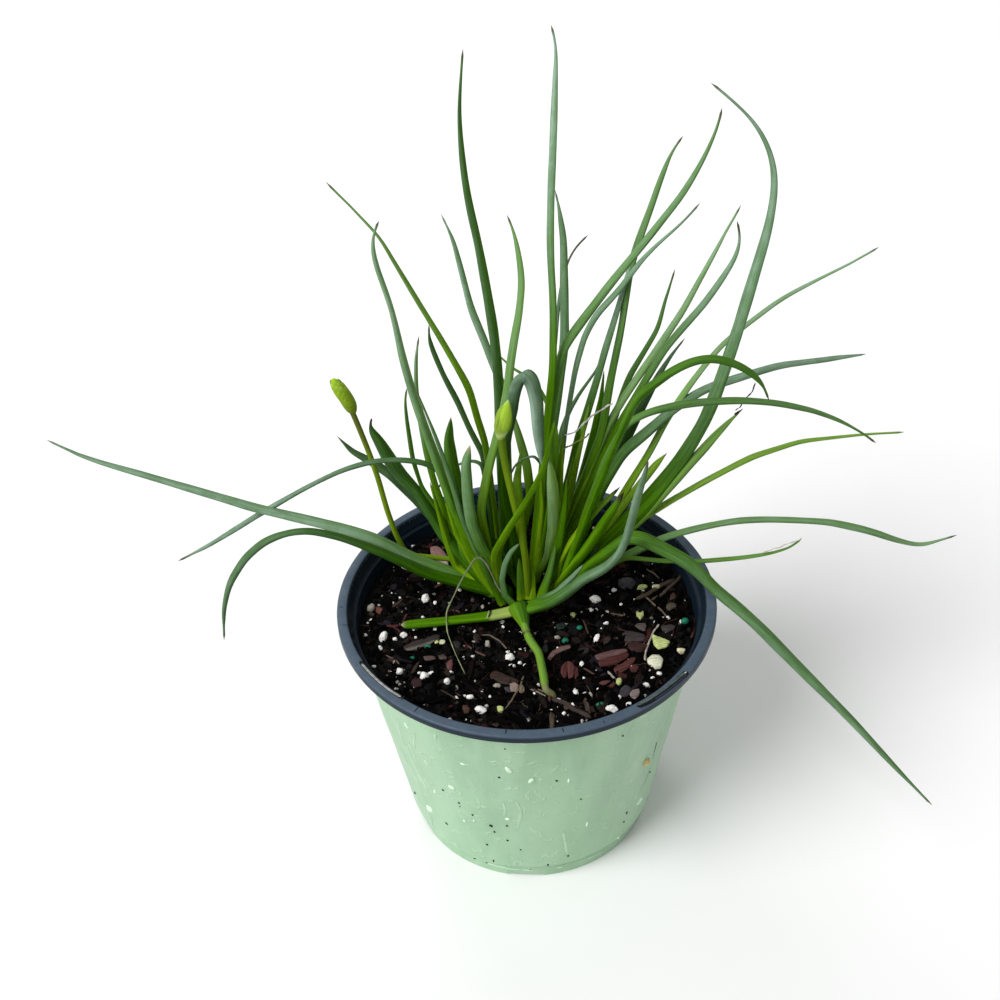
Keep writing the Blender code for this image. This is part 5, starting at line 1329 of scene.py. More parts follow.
# Leaves by shoot: width, depth (Y) of the tip, taper power, look, factors on the width and sideways
# shifts in pixels at the four stations, and the midline in pixels from tip to root. A look is the
# bloom (waxy grey), brightness (0 dark, 1 lime), where along the leaf the bloom starts, the dry
# share of the tip, the black and the pale share of that dry part, and the side painted greyer, as
# if lit (-1 left). Brightness is set leaf by leaf, partly as the leaf's own green and partly as
# painted light, higher for leaves in the crown's shade.
LEAVES = {}
LEAVES["shoot_left"] = {
    "low_long": (6, 38, SHARP, (0.6, 0.54, -0.1, 0.01, 0.3, 0, 0), (1, 0.9, 1, 1.1),
        (-2.5, -1, -1.5, -2.5),
        (47, 440, 100, 460, 170, 481, 250, 505, 329, 522, 377, 538, 409, 557)),
    "low_hooked": (5.4, -4, SHARP, (0.18, 0.34, 0.2, 0.015, 0.2, 0, -0.3), (0.9, 0.8, 1.5, 1.7),
        (-1, -2.5, 0, 0),
        (224, 640, 223, 610, 228, 585, 243, 558, 262, 540, 285, 530, 310, 528, 340, 535, 380, 550,
         430, 574)),
    "thin_arch": (3, 34, FULL, (0.48, 0.26, 0.2, 0.03, 0.1, 0, 0), (1, 1, 1.6, 2), (0, 0, -2, -1),
        (178, 561, 210, 543, 250, 517, 300, 490, 341, 470, 371, 461, 400, 459, 431, 463, 445, 476,
         470, 510)),
    "short_dark": (4, 58, SHARP, (0.1, 0.2, 0.1, 0.03, 0.2, 0, 0), (1.2, 1.5, 2, 2), (0, 0, 2, 1),
        (337, 436, 351, 452, 365, 460, 390, 475, 402, 486, 417, 500)),
    "broad_dark": (6.6, 40, SHARP, (0.06, 0.44, 0.1, 0.03, 0.8, 0, -0.3), (1, 1, 1.9, 2),
        (0, 1.5, -1.5, -1),
        (372, 418, 370, 427, 380, 440, 402, 476, 417, 493, 445, 535)),
    "tall_hooked": (6.6, 14, FULL, (0.48, 0.7, 0.2, 0.012, 0.2, 0, -0.2), (0.9, 0.9, 0.7, 1.1),
        (0, 0, 1.5, 0),
        (379, 221, 374, 230, 372, 243, 376, 265, 386, 294, 395, 325, 402, 355, 411, 385, 421, 415,
         432, 445, 452, 500, 472, 545)),
    "grey_beside_tall": (4.4, 4, SHARP, (0.24, 0.54, -0.1, 0.02, 0.3, 0, 0), PLAIN, STILL,
        (417, 392, 425, 410, 435, 434, 444, 458, 453, 484, 462, 515, 474, 545)),
    "thin_upright": (3.2, 52, SHARP, (0.48, 0.74, 0.4, 0.03, 0.2, 0, 0), (1, 1, 1.1, 1.6), STILL,
        (419, 336, 416, 357, 416, 385, 420, 420, 426, 452, 435, 485, 447, 516)),
    "bowed": (3.6, 30, FULL, (0.3, 0.78, 0.1, 0.015, 0.2, 0, 0), (1.1, 1.1, 1.2, 1.4), (1, 2, 0, 0),
        (507, 215, 515, 235, 520, 263, 522, 284, 519, 312, 513, 340, 508, 368, 505, 395, 497, 432,
         488, 466, 480, 512)),
    "bright_crossing": (4.6, -10, SHARP, (0, 0.8, -0.1, 0.01, 0.1, 0, 0), (0.95, 1, 1, 1), STILL,
        (555, 420, 543, 468, 534, 487, 523, 506, 509, 527, 495, 552)),
    "inner_bright": (3.8, 26, SHARP, (0, 0.9, -0.1, 0.012, 0.1, 0, 0), (1.3, 1.3, 1.2, 1.1), STILL,
        (430, 482, 440, 515, 449, 545, 457, 566)),
    "inner_broad": (5.6, 14, SHARP, (0, 0.9, -0.1, 0.012, 0.1, 0, 0), (1.3, 1.3, 1.2, 1.1), STILL,
        (445, 500, 457, 530, 470, 553, 484, 575)),
    "thin_outer": (3, 44, SHARP, (0.06, 0.58, 0.2, 0.02, 0.1, 0, 0), (0.9, 0.8, 1.3, 1.6), STILL,
        (407, 388, 405, 401, 407, 421, 413, 460, 422, 488)),
    "stub_dark": (5.2, 30, BLUNT, (0.06, 0.6, 0.4, 0.015, 0.1, 0.2, 0), (1.1, 1.1, 1.3, 1.3), STILL,
        (451, 417, 449, 440, 452, 464, 462, 500)),
    "small_arch": (2.6, 36, SHARP, (0.2, 0.45, 0.2, 0.02, 0.1, 0, 0), PLAIN, STILL,
        (438, 489, 445, 475, 458, 464, 471, 460, 482, 463, 489, 500)),
    "pale_tipped": (4.6, 0, BLUNT, (0.34, 0.64, 0.1, 0.03, 0, 0.7, 0), (1.2, 1.2, 1.2, 1.3), STILL,
        (470, 445, 466, 464, 468, 499, 472, 523, 481, 546, 493, 562)),
}
LEAVES["shoot_back_left"] = {
    "long_bright": (3.2, 62, SHARP, (0.3, 0.82, 0.4, 0.015, 0.2, 0, 0), (1.3, 1.2, 1.1, 0.9),
        (0, 0, 0, 1.5),
        (326, 182, 350, 208, 380, 238, 416, 298, 443, 342, 470, 389, 478, 420, 486, 443)),
    "dark": (3.6, 66, SHARP, (0.12, 0.34, -0.1, 0.02, 0.3, 0, 0), (0.9, 0.9, 1.2, 2), (0, -1, -1, 0),
        (429, 324, 429, 340, 436, 357, 446, 378, 459, 402, 472, 432, 483, 453)),
    "upright_dark": (4, 40, FULL, (0.12, 0.46, -0.1, 0.012, 0.3, 0, -0.5), (1.2, 1.1, 1, 0.9), STILL,
        (463, 49, 461, 76, 459, 111, 461, 146, 465, 181, 470, 209, 478, 242, 487, 291, 494, 333,
         498, 368)),
    "bloomy": (4, 78, SHARP, (0.54, 0.58, 0.1, 0.012, 0.1, 0, -0.1), (1, 1.1, 1.2, 1.6), STILL,
        (441, 214, 453, 239, 463, 277, 471, 309, 484, 340, 492, 361, 501, 382, 506, 399)),
    "grey_behind_bud": (3.6, 48, SHARP, (0.36, 0.82, 0.4, 0.015, 0.1, 0, 0), (1.1, 1.3, 1.4, 1.2), STILL,
        (503, 392, 512, 413, 520, 440, 527, 466, 531, 500)),
}
LEAVES["shoot_centre"] = {
    "thin_cross": (2.8, 50, SHARP, (0.12, 0.78, 0.4, 0.02, 0.1, 0, 0), PLAIN, STILL,
        (489, 348, 501, 357, 513, 369, 527, 376, 539, 387, 549, 407, 556, 430, 557, 470)),
    "tallest": (3.6, 36, FULL, (0.9, 0.58, 0.4, 0.01, 0.1, 0, -0.1), (1, 0.9, 1.2, 1.5), (0, 0, 0, -1),
        (551, 25, 557, 41, 557, 62, 555, 104, 553, 146, 551, 188, 550, 240, 551, 270, 553, 298,
         553, 368)),
    "behind_tallest": (3.6, 66, FULL, (0.36, 0.46, 0.2, 0.015, 0.1, 0, 0), (1.1, 1.2, 1.3, 1.6),
        (0, 0, -1, -1.5),
        (555, 190, 561, 211, 565, 239, 565, 267, 565, 302, 565, 340)),
    "great_arch": (6, 42, FULL, (0.3, 0.62, 0.2, 0.015, 0.1, 0, -0.1), (0.9, 0.8, 0.8, 0.9), (1, 2, 0, 0),
        (722, 108, 718, 127, 703, 160, 682, 195, 657, 226, 636, 251, 611, 280, 585, 313, 560, 348,
         551, 400, 547, 440, 551, 490)),
    "hook": (3.9, 8, BLUNT, (0.9, 0.3, 0.4, 0.012, 0.2, 0, 0), (1.3, 1.6, 1.8, 1.9), (1, 3, -2, -2),
        (544, 471, 539, 456, 537, 436, 535, 400, 532, 379, 525, 371, 517, 378, 510, 400, 503, 440,
         502, 490)),
    "low_arch": (2.2, 30, SHARP, (0.3, 0.45, 0.2, 0.015, 0.1, 0, 0), PLAIN, STILL,
        (511, 474, 514, 466, 522, 459, 534, 455, 543, 466, 547, 500)),
    "thin_tip": (2.8, 78, SHARP, (0.3, 0.3, 0.2, 0.1, 0, 0, 0), PLAIN, STILL,
        (588, 235, 576, 246, 568, 260, 561, 285, 558, 310)),
    "inner_left": (4.4, 34, SHARP, (0.06, 0.85, 0.4, 0.012, 0.1, 0, 0), (1.3, 1.3, 1.2, 1.1), STILL,
        (522, 446, 517, 480, 519, 520)),
    "inner_right": (4.4, 30, SHARP, (0, 0.86, -0.1, 0.012, 0.1, 0, 0), (1.4, 1.4, 1.3, 1.1), STILL,
        (563, 432, 560, 470, 556, 520)),
    "pale_broad": (4.6, 14, BLUNT, (0.44, 1, 0, 0.015, 0, 0, 0), (1.6, 1.6, 1.5, 1.3), STILL,
        (549, 459, 551, 478, 553, 502, 553, 528, 548, 555)),
    "fan_left": (4.6, 14, SHARP, (0.05, 0.55, 0.2, 0.015, 0.1, 0, 0), (1.3, 1.3, 1.2, 1.1), STILL,
        (494, 536, 503, 555, 512, 572, 519, 584)),
    "fan_middle": (4.6, 22, SHARP, (0, 0.92, -0.1, 0.015, 0.1, 0, 0), (1.3, 1.3, 1.2, 1.1), STILL,
        (541, 472, 541, 505, 538, 540, 535, 565)),
}
LEAVES["shoot_back_right"] = {
    "lean_bloomy": (4.2, 64, FULL, (0.9, 0.54, 0.4, 0.012, 0.1, 0, -0.2), (1.1, 0.9, 0.9, 1),
        (-3, 0, 1, 0),
        (642, 234, 633, 256, 622, 290, 612, 325, 604, 352, 597, 380, 588, 415, 578, 452, 567, 490)),
    "inner_shadow": (4.6, 62, SHARP, (0, 0.5, -0.1, 0.02, 0.2, 0, 0), (1.3, 1.3, 1.3, 1.1), STILL,
        (604, 370, 601, 400, 595, 430, 587, 465, 577, 500)),
    "inner_tip": (4.2, 46, SHARP, (0.12, 0.92, 0.4, 0.02, 0.2, 0, 0), (1.4, 1.4, 1.3, 1.1), STILL,
        (590, 402, 581, 438, 573, 470, 564, 510)),
    "lean_first": (3.8, 74, FULL, (0.24, 0.62, 0.2, 0.015, 0.1, 0, 0), (1.1, 1, 1.3, 1.5),
        (-1.5, 0, 0, 0),
        (683, 136, 673, 148, 666, 165, 659, 183, 651, 207, 637, 244, 629, 272, 621, 330, 611, 382,
         603, 433)),
    "lean_second": (3.4, 66, SHARP, (0.48, 0.5, -0.1, 0.015, 0.1, 0, 0), (0.8, 1.2, 1.4, 1.2),
        (3, -2, 1, 0),
        (700, 203, 680, 225, 659, 242, 638, 262, 619, 290, 596, 316, 585, 340, 575, 369, 563, 420)),
    "lean_dark": (4, 83, SHARP, (0.12, 0.58, -0.1, 0.02, 0.2, 0, 0), (1, 1, 1, 1.1), (0, 0, 1, 1),
        (675, 269, 665, 297, 657, 328, 642, 354, 629, 376, 610, 430)),
    "lean_third": (3.8, 70, FULL, (0.48, 0.82, 0.1, 0.015, 0.1, 0, -0.1), (1.1, 1.1, 1.1, 0.9),
        (1, 2.5, 0, -1),
        (741, 205, 723, 239, 703, 274, 682, 310, 662, 338, 644, 364, 624, 394, 608, 422)),
    "curled_tip": (3.4, 60, FULL, (0.6, 0.58, 0.4, 0.03, 0.2, 0, 0), (1.1, 1.2, 1.5, 1.5), STILL,
        (737, 221, 741, 239, 736, 257, 721, 280, 703, 305, 682, 328, 665, 348, 649, 374, 618, 425)),
    "lean_short": (4.6, 80, SHARP, (0.24, 0.26, 0.4, 0.02, 0.2, 0, 0), (1.4, 1.4, 1.3, 1.2), STILL,
        (685, 338, 672, 354, 659, 374, 640, 410, 620, 450)),
    "fan_lime": (4.2, 44, SHARP, (0, 0.86, 0.2, 0.015, 0.1, 0, 0), (1.3, 1.3, 1.2, 1.1), STILL,
        (598, 468, 590, 500, 581, 528, 571, 548)),
    "inner_olive": (4.4, 50, SHARP, (0.05, 1.05, 0.2, 0.015, 0.1, 0, 0), (1.4, 1.4, 1.3, 1.1), STILL,
        (608, 405, 603, 426, 597, 447, 591, 471, 585, 499)),
    "inner_dark": (2.6, 66, FULL, (0.2, 0.4, 0.2, 0.015, 0.1, 0, 0), (1, 1, 0.9, 1), (0, 0, -1.5, 0),
        (603, 354, 596, 371, 583, 391, 570, 411, 561, 432)),
}
LEAVES["shoot_right"] = {
    "great_broad": (6.6, 60, FULL, (0.54, 0.46, 0.2, 0.012, 0.1, 0, 0), (0.9, 0.9, 0.7, 0.6),
        (2, 0, 0, 0),
        (711, 83, 733, 101, 754, 121, 769, 147, 775, 172, 774, 198, 768, 229, 759, 259, 749, 292,
         739, 325, 728, 356, 716, 389, 703, 420, 682, 456, 647, 502)),
    "far_upper": (3.4, 82, SHARP, (0.6, 0.82, 0.2, 0.015, 0.1, 0, 0), (1.1, 1, 1.1, 1.1), (-1, 0, 0, 1),
        (879, 247, 841, 267, 810, 283, 779, 300, 746, 325, 723, 343, 708, 361, 687, 389, 667, 420,
         651, 451, 631, 482, 615, 508)),
    "dry_tipped": (5, 2, BLUNT, (0, 0.72, -0.1, 0.06, 1, 0, 0), (1.35, 1.4, 1.4, 1.3), STILL,
        (624, 492, 606, 518, 588, 545, 566, 572, 549, 590)),
    "dry_beside": (3.2, 12, BLUNT, (0.06, 0.95, 0.4, 0.06, 0.8, 0, 0), (1.2, 1.2, 1.2, 1.2), STILL,
        (620, 487, 602, 504, 587, 520, 571, 541, 560, 560)),
    "blunt_flat": (4.6, 70, BLUNT, (0.6, 0.38, 0.2, 0.01, 0, 0.2, 0), (1.2, 1, 0.9, 1), (0, 0, -1, -1),
        (866, 354, 828, 360, 779, 366, 751, 374, 708, 387, 687, 399, 670, 411, 649, 430, 623, 451,
         602, 486)),
    "dropping_arch": (5, 0, FULL, (0.06, 0.56, 0.4, 0.015, 0.2, 0, 0), (1, 1.1, 1.2, 1.8), STILL,
        (769, 400, 764, 384, 751, 371, 733, 362, 713, 357, 693, 360, 672, 370, 657, 381, 636, 397,
         612, 450)),
    "long_arch": (3, 26, SHARP, (0.18, 0.58, 0.1, 0.012, 0.9, 0, 0), (1.3, 1.7, 1.9, 2), (0, 0, 2, 1),
        (876, 443, 866, 434, 841, 419, 810, 407, 777, 401, 739, 399, 687, 403, 649, 411, 624, 424,
         604, 460)),
    "lime": (3, 44, SHARP, (0.12, 0.9, -0.1, 0.012, 0.1, 0, 0), (1.2, 1.3, 1.2, 1.1), (2, 0, 0, 0),
        (904, 432, 866, 434, 828, 438, 800, 441, 779, 448, 753, 456, 728, 468, 702, 481, 676, 495,
         656, 508, 637, 520)),
    "dry_thread_tip": (4.6, 30, SHARP, (0.18, 0.86, 0.1, 0.02, 0.8, 0, 0), (1.2, 1.4, 1.8, 2),
        (0, 0, 0, -1),
        (742, 409, 731, 421, 715, 436, 689, 464, 664, 492, 644, 515)),
    "low_far": (3.6, 34, SHARP, (0.38, 0.64, -0.1, 0.02, 0.2, 0, 0), (1, 1.2, 2, 2), (0, 0, -1, 0),
        (957, 535, 940, 540, 920, 546, 895, 540, 865, 530, 830, 522, 800, 520, 766, 519, 740, 520,
         715, 524, 689, 530, 664, 537, 645, 546)),
    "great_drooping": (6.6, -72, SHARP, (0.3, 0.5, 0.1, 0.012, 0.1, 0, 0), PLAIN, STILL,
        (932, 805, 900, 772, 850, 718, 800, 668, 760, 627, 732, 602, 713, 588, 700, 571, 687, 561,
         668, 551, 649, 541, 631, 533)),
    "low_thin": (2.6, 4, SHARP, (0.12, 0.74, -0.1, 0.01, 0, 0.6, 0), (1, 1.1, 1.5, 1.4), (0, 0, 1, 1),
        (802, 538, 791, 546, 772, 552, 740, 557, 702, 561, 664, 561, 625, 557)),
    "small_inner": (3.6, 34, BLUNT, (0.06, 0.95, 0.2, 0.02, 0.1, 0, 0), (1.1, 1.1, 1.2, 1.5), STILL,
        (667, 453, 656, 464, 640, 484)),
    "fan_right": (4.8, 16, SHARP, (0, 0.6, -0.1, 0.015, 0.1, 0, 0), (1.3, 1.3, 1.2, 1.1), STILL,
        (567, 478, 564, 508, 559, 540, 553, 565)),
}
SUN_WAY = np.array([-0.593, -0.385, 0.707])
SECTION_SIDES = 20
FINE_SPACING = 2.6
FINE_TURN = 0.10
section_turns = even_turns(SECTION_SIDES)
section_u = 0.5 * np.cos(section_turns)
edge = np.abs(2.0 * section_u).clip(0.0, 1.0)
above = np.sin(section_turns) > 1e-6
section_v = np.where(above, 0.30 * (1.0 - edge ** 2.2) ** 0.6 - 0.06 * np.exp(-(edge / 0.25) ** 2),
                     -0.46 * (1.0 - edge ** 2.6) ** 0.62)
LEAF_SECTION = np.column_stack([section_u, section_v])


def smooth_path(points, spacing=FINE_SPACING):
    """A rounded path: 12 passes of quarter, half, quarter; rings by length and by turn."""
    path = eased(resample(np.asarray(points, float), PATH_SAMPLES), PATH_PASSES)
    steps = np.diff(path, axis=0)
    lengths = np.linalg.norm(steps, axis=1)
    heads = steps / lengths[:, None]
    turns = np.arccos(np.clip((heads[1:] * heads[:-1]).sum(axis=1), -1.0, 1.0))
    weights = lengths / spacing
    weights[1:] += turns / FINE_TURN
    measure = np.concatenate(([0.0], np.cumsum(weights)))
    return between(np.linspace(0.0, measure[-1], max(12, math.ceil(measure[-1]) + 1)), measure, path)


def rising_points(start, tip_depth, pixels):
    """Points up a leaf: its depth runs evenly from the start's to the tip's."""
    seen = np.vstack([pixels_of(start), np.array(pixels, float).reshape(-1, 2)[::-1]])
    along = arc_lengths(seen)
    depths = start[1] + (tip_depth - start[1]) * along / along[-1]
    return list(at_depth(seen[1:], depths[1:]))


def leaf_path(crown, tip_depth, pixels, shifts):
    """A leaf's midline from its root in the crown to its tip, shifted sideways at the stations."""
    x, y, radius = crown
    root = np.array([x, y, SOIL_Z + ROOT_RISE])
    outward = at_depth(pixels[-2:], y)[0, :2] - root[:2]
    reach = np.linalg.norm(outward)
    root[:2] += outward / reach * min(ROOT_SPREAD * radius, 0.5 * reach)
    path = smooth_path([root] + rising_points(root, tip_depth, pixels))
    seen = pixels_of(path)
    heads = unit(np.gradient(seen, axis=0))
    sides = np.column_stack([-heads[:, 1], heads[:, 0]])
    along = arc_lengths(path) / arc_lengths(path)[-1]
    shifts = np.interp(along, (0.2, *STATIONS, 1.0), (0.0, *shifts, 0.0))
    return at_depth(seen + sides * shifts[:, None], path[:, 1])


def smooth_step(values, low, high):
    """0 up to low, 1 from high on, and 3t² - 2t³ between."""
    t = np.clip((values - low) / (high - low), 0.0, 1.0)
    return t * t * (3.0 - 2.0 * t)


def blade(path, width, seed, power, look, fuller=PLAIN):
    """A leaf's body: points, faces and its three marks for the leaf material.

    Width runs as width·(1 - along^power)^0.75, swollen by a third at the root, and depth as
    0.8 of that. A little unevenness comes from two sines along it.
    """
    bloom, bright, start, dry, black, pale, side = look
    distance = arc_lengths(path)
    along = distance / distance[-1]
    taper = np.clip(1.0 - along ** power, 0.0, 1.0) ** TAPER_CURVE
    swell = 1.0 + BASE_SWELL * np.exp(-along * SWELL_FADE)
    uneven = 1.0 + 0.03 * np.sin(distance / 9.0 + seed) + 0.02 * np.sin(distance / 3.7 + 2.0 * seed)
    fuller = np.interp(along, (0.0, 0.2, *STATIONS, 1.0), (1.1, 1.16, *fuller, 1.0))
    widths = np.maximum(width * taper * swell * uneven * fuller, LEAST_WIDTH)
    depths = np.maximum(KEEL * widths, LEAST_DEPTH)
    ends = round_ends(path, 1.4)
    points, faces = closed_sleeve(loft(path, LEAF_SECTION, widths * ends, depths * ends))
    rows = sleeve_rows(len(path), SECTION_SIDES)
    across = sleeve_round(2.0 * section_u, len(path))
    top = np.concatenate([np.tile(1.0 * above, len(path)), [0.0, 1.0]])
    way = along[rows]
    rings = points[:len(path) * SECTION_SIDES].reshape(len(path), SECTION_SIDES, 3)
    # The bloom is painted paler on the side that faces the sun, and on the given side: painted light over
    # the real bloom.
    lean = unit((rings - rings.mean(axis=1, keepdims=True)).reshape(-1, 3))
    lit = np.concatenate([lean @ SUN_WAY, [0.5, 0.5]])
    wax_with_painted_sun_side = bloom * smooth_step(way, start, start + 0.6) * np.clip(0.6 + 0.8 * lit, 0.0, 1.3)
    wax_with_painted_sun_side = wax_with_painted_sun_side * (1.0 + side * across)
    # Leaves are painted lighter toward the root, where the crown is in shade: painted light.
    light = bright + 0.32 * np.exp(-way * 4.0)
    brown = smooth_step(way, 1.0 - 1.6 * dry, 1.0 - 0.3 * dry)
    place = np.column_stack([distance[rows], across, np.full(len(rows), 7.3 * seed)])
    looks = np.column_stack([np.clip(wax_with_painted_sun_side, 0.0, 1.0), np.clip(light, 0.0, 1.2), brown])
    return points, faces, (place, looks, np.column_stack([brown * black, brown * pale, top]))


def stem_base(crown):
    """The short stem that the leaves grow from: a turned plug, from in its hole to just above."""
    x, y, radius = crown
    profile = [(0.4, SOIL_Z + CROWN_RISE + 1.0), (CROWN_NECK * radius, SOIL_Z + CROWN_RISE),
               (radius, SOIL_Z + 0.5), (radius, SOIL_Z - HOLE_DEPTH), (0.4, SOIL_Z - HOLE_DEPTH)]
    rings = turned_rings(along_profile(profile, 1.5), 28)
    rings[..., :2] *= (1.0 + 0.04 * waves(rings, 3.0, 8, 71))[..., None]
    points, faces = closed_sleeve(rings + (x, y, 0.0))
    count = len(points)
    turns = 4.0 * np.arctan2(points[:, 1] - y, points[:, 0] - x)
    place = np.column_stack([points[:, 2] - SOIL_Z, turns, np.zeros(count)])
    looks = np.tile((0.0, 0.22, 0.0), (count, 1))
    return points, faces, (place, looks, np.zeros((count, 3)))


leaf_matter, tree, shader = new_material("leaf_skin", IOR=1.42, Specular_IOR_Level=0.04)
place = from_mark(tree, "place")
looks = parts_of(tree, from_mark(tree, "looks"))
ends = parts_of(tree, from_mark(tree, "ends"))
veins = stretched(tree, place, (0.035, 3.2, 1.0))
lines = mottled(tree, veins, 1.6)
patches = mottled(tree, stretched(tree, place, (0.16, 0.6, 1.0)), 1.0)
green = put(tree, "ValToRGB", [("Fac", looks["Y"])])
while len(green.color_ramp.elements) < 5:
    green.color_ramp.elements.new(1.0)
for element, (spot, tint) in zip(green.color_ramp.elements, (
        (0.0, (0.009, 0.032, 0.0006)), (0.30, (0.026, 0.087, 0.0012)), (0.55, (0.055, 0.163, 0.002)),
        (0.80, (0.120, 0.282, 0.004)), (1.0, (0.260, 0.452, 0.010)))):
    element.position = spot
    element.color = (*tint, 1.0)
lined_and_painted_shade = blend_colours(tree, ramp(tree, lines, 0.2, 0.85, 0.0, 0.80), green.outputs["Color"],
                      (0.55, 0.62, 0.48, 1.0), 'MULTIPLY')
# Darker toward both edges and on the underside: painted shade.
across = put(tree, "Math", [(0, parts_of(tree, place)["Y"])], operation='ABSOLUTE').outputs["Value"]
lined_and_painted_shade = blend_colours(tree, ramp(tree, across, 0.70, 1.0, 0.0, 0.45), lined_and_painted_shade, (0.45, 0.55, 0.40, 1.0),
                      'MULTIPLY')
lined_and_painted_shade = blend_colours(tree, ramp(tree, ends["Z"], 0.0, 1.0, 0.35, 0.0), lined_and_painted_shade, (0.50, 0.60, 0.45, 1.0),
                      'MULTIPLY')
# The bloom mark carries the painted paler sun side as well as the real bloom.
waxy_with_painted_sun_side = put(tree, "Math", [(0, looks["X"]), (1, ramp(tree, patches, 0.0, 1.0, 0.82, 1.12))],
           operation='MULTIPLY', use_clamp=True).outputs["Value"]
waxy_with_painted_sun_side = reckon(tree, 'MULTIPLY', waxy_with_painted_sun_side, ramp(tree, lines, 0.0, 1.0, 1.06, 0.78))
colour = lined_and_painted_shade
for share, tint in ((waxy_with_painted_sun_side, (0.300, 0.440, 0.330, 1.0)), (looks["Z"], (0.100, 0.075, 0.050, 1.0)),
                    (ends["X"], (0.020, 0.014, 0.010, 1.0)), (ends["Y"], (0.46, 0.46, 0.22, 1.0))):
    colour = blend_colours(tree, share, colour, tint)
finish_skin(tree, shader, colour, waxy_with_painted_sun_side, 0.42, 0.62)
pressed(tree, shader, veins, 3.0, 0.25)

LEAF_MARKS = ("place", "looks", "ends")
seed = 0
for shoot, crown in CROWNS.items():
    bodies = [stem_base(crown)]
    for width, depth, power, look, fuller, shifts, pixels in LEAVES[shoot].values():
        seed += 1
        bodies.append(blade(leaf_path(crown, depth, pixels, shifts), width, seed, power, look, fuller))
    piece = joined("leaves_" + shoot[6:], bodies, leaf_matter, LEAF_MARKS)
    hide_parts(shoot)

# Sheaths round the crown: short, broad leaf bases that wrap each shoot's foot. Each row gives the
# depth (Y) of the tip, width, brightness and bloom, and the midline in pixels from tip to root.
SHEATHS = (
    (12, 5.4, 0.7, 0.05, (455, 520, 464, 552, 481, 585)),
    (9.5, 4.8, 0.62, 0.05, (480, 552, 490, 578, 504, 603)),
    (12, 4.2, 0.7, 0.05, (519, 558, 521, 580, 523, 600)),
    (13, 4.6, 0.86, 0, (531, 560, 531, 580, 529, 600)),
    (10, 5.2, 0.62, 0.1, (556, 545, 549, 575, 540, 602)),
    (11, 5, 0.5, 0.15, (577, 548, 566, 573, 553, 598)),
    (15, 4.6, 0.46, 0.2, (598, 545, 584, 566, 567, 588)),
)
bodies = []
for y, width, bright, bloom, pixels in SHEATHS:
    seed += 1
    pixels = np.array(pixels, float).reshape(-1, 2)[::-1]
    depths = np.linspace(to_mix(pixels[0], 0.3)[0, 1], y, len(pixels))
    path = smooth_path(at_depth(pixels, depths), 1.6)
    bodies.append(blade(path, width, seed, SHARP, (bloom, bright, 0.1, 0.01, 0.1, 0.0, 0.0)))
joined("crown_sheaths", bodies, leaf_matter, LEAF_MARKS)

# The front shoot: it lies on the mix. A round stem comes out of its own hole, runs back to a
# joint and opens in a sheath; grey leaves, a lying leaf and one dried curl grow from it.
FRONT_HOLE = (8.6, -49.0)
FRONT_STEM_WIDTH = 2.8
FRONT_STEM_RINGS = 110
SHEATH_TOP = (518, 606, 117.0)
SHEATH_WIDTH = 6.6
SHEATH_RINGS = 26
FRONT_LEAVES = {
    "thick_kinked": (6.4, -22, BLUNT, (0.42, 0.4, 0, 0.03, 0, 0, 0), PLAIN, STILL,
        (648, 460, 645, 472, 637, 495, 631, 518, 626, 537, 619, 553, 608, 565, 598, 571, 583, 578, 570, 589,
         550, 602)),
    "small_grey": (3.4, -2, BLUNT, (0.4, 0.36, 0.1, 0.03, 0.1, 0, 0), PLAIN, STILL,
        (584, 564, 573, 576, 556, 592)),
    "small_upright": (2.8, 2, BLUNT, (0.26, 0.36, 0, 0.03, 0.1, 0, 0), PLAIN, STILL,
        (520, 543, 511, 552, 505, 564, 502, 580, 505, 596)),
}
LYING_LEAF = ((401, 625, 111.6), (445, 621, 112.0), (488, 616, 112.6), (508, 612, 114.4))
LYING_LEAF_WIDTH = 3.8
LYING_LEAF_POWER = 40.0
LYING_LEAF_LOOK = (0.0, 0.62, 0.4, 0.02, 0.0, 0.9, 0.0)
DRY_CURL = ((465, 674, 111.0), (455, 653, 112.0), (447, 632, 113.0), (446, 612, 114.0),
            (462, 579, 126.0), (477, 555, 137.0), (486, 562, 134.0), (499, 590, 121.0))
DRY_CURL_WIDTH = 1.3


def spots_at(route):
    """Points of a route given as pixels with heights."""
    route = np.array(route, float)
    return at_height(route[:, :2], route[:, 2])


def rod(path, widths, look, pale=0.0, shade=0.0, flat=1.0):
    """A round stem's body, with the marks of the leaf material. Look: bloom, bright, brown.

    It is flat·width deep. The brightness falls evenly by the shade from its left to its right: painted
    shade, darker on the right as if lit from the left.
    """
    points, faces = tube(path, widths, flat * widths, side=RIGHT)
    rows = sleeve_rows(len(path), len(ROUND_SECTION))
    across = sleeve_round(2.0 * ROUND_SECTION[:, 0], len(path))
    place = np.column_stack([arc_lengths(path)[rows], across, np.full(len(rows), 3.1)])
    look = np.asarray(look, float)
    looks = look[rows] if look.ndim == 2 else np.tile(look, (len(rows), 1))
    turn = ((points - path[rows]) @ RIGHT) / np.asarray(widths, float)[rows]
    looks[:, 1] -= shade * (turn + 0.5)
    share = np.broadcast_to(pale, len(path))[rows]
    return points, faces, (place, looks, np.column_stack([0.0 * share, share, 0.0 * share]))


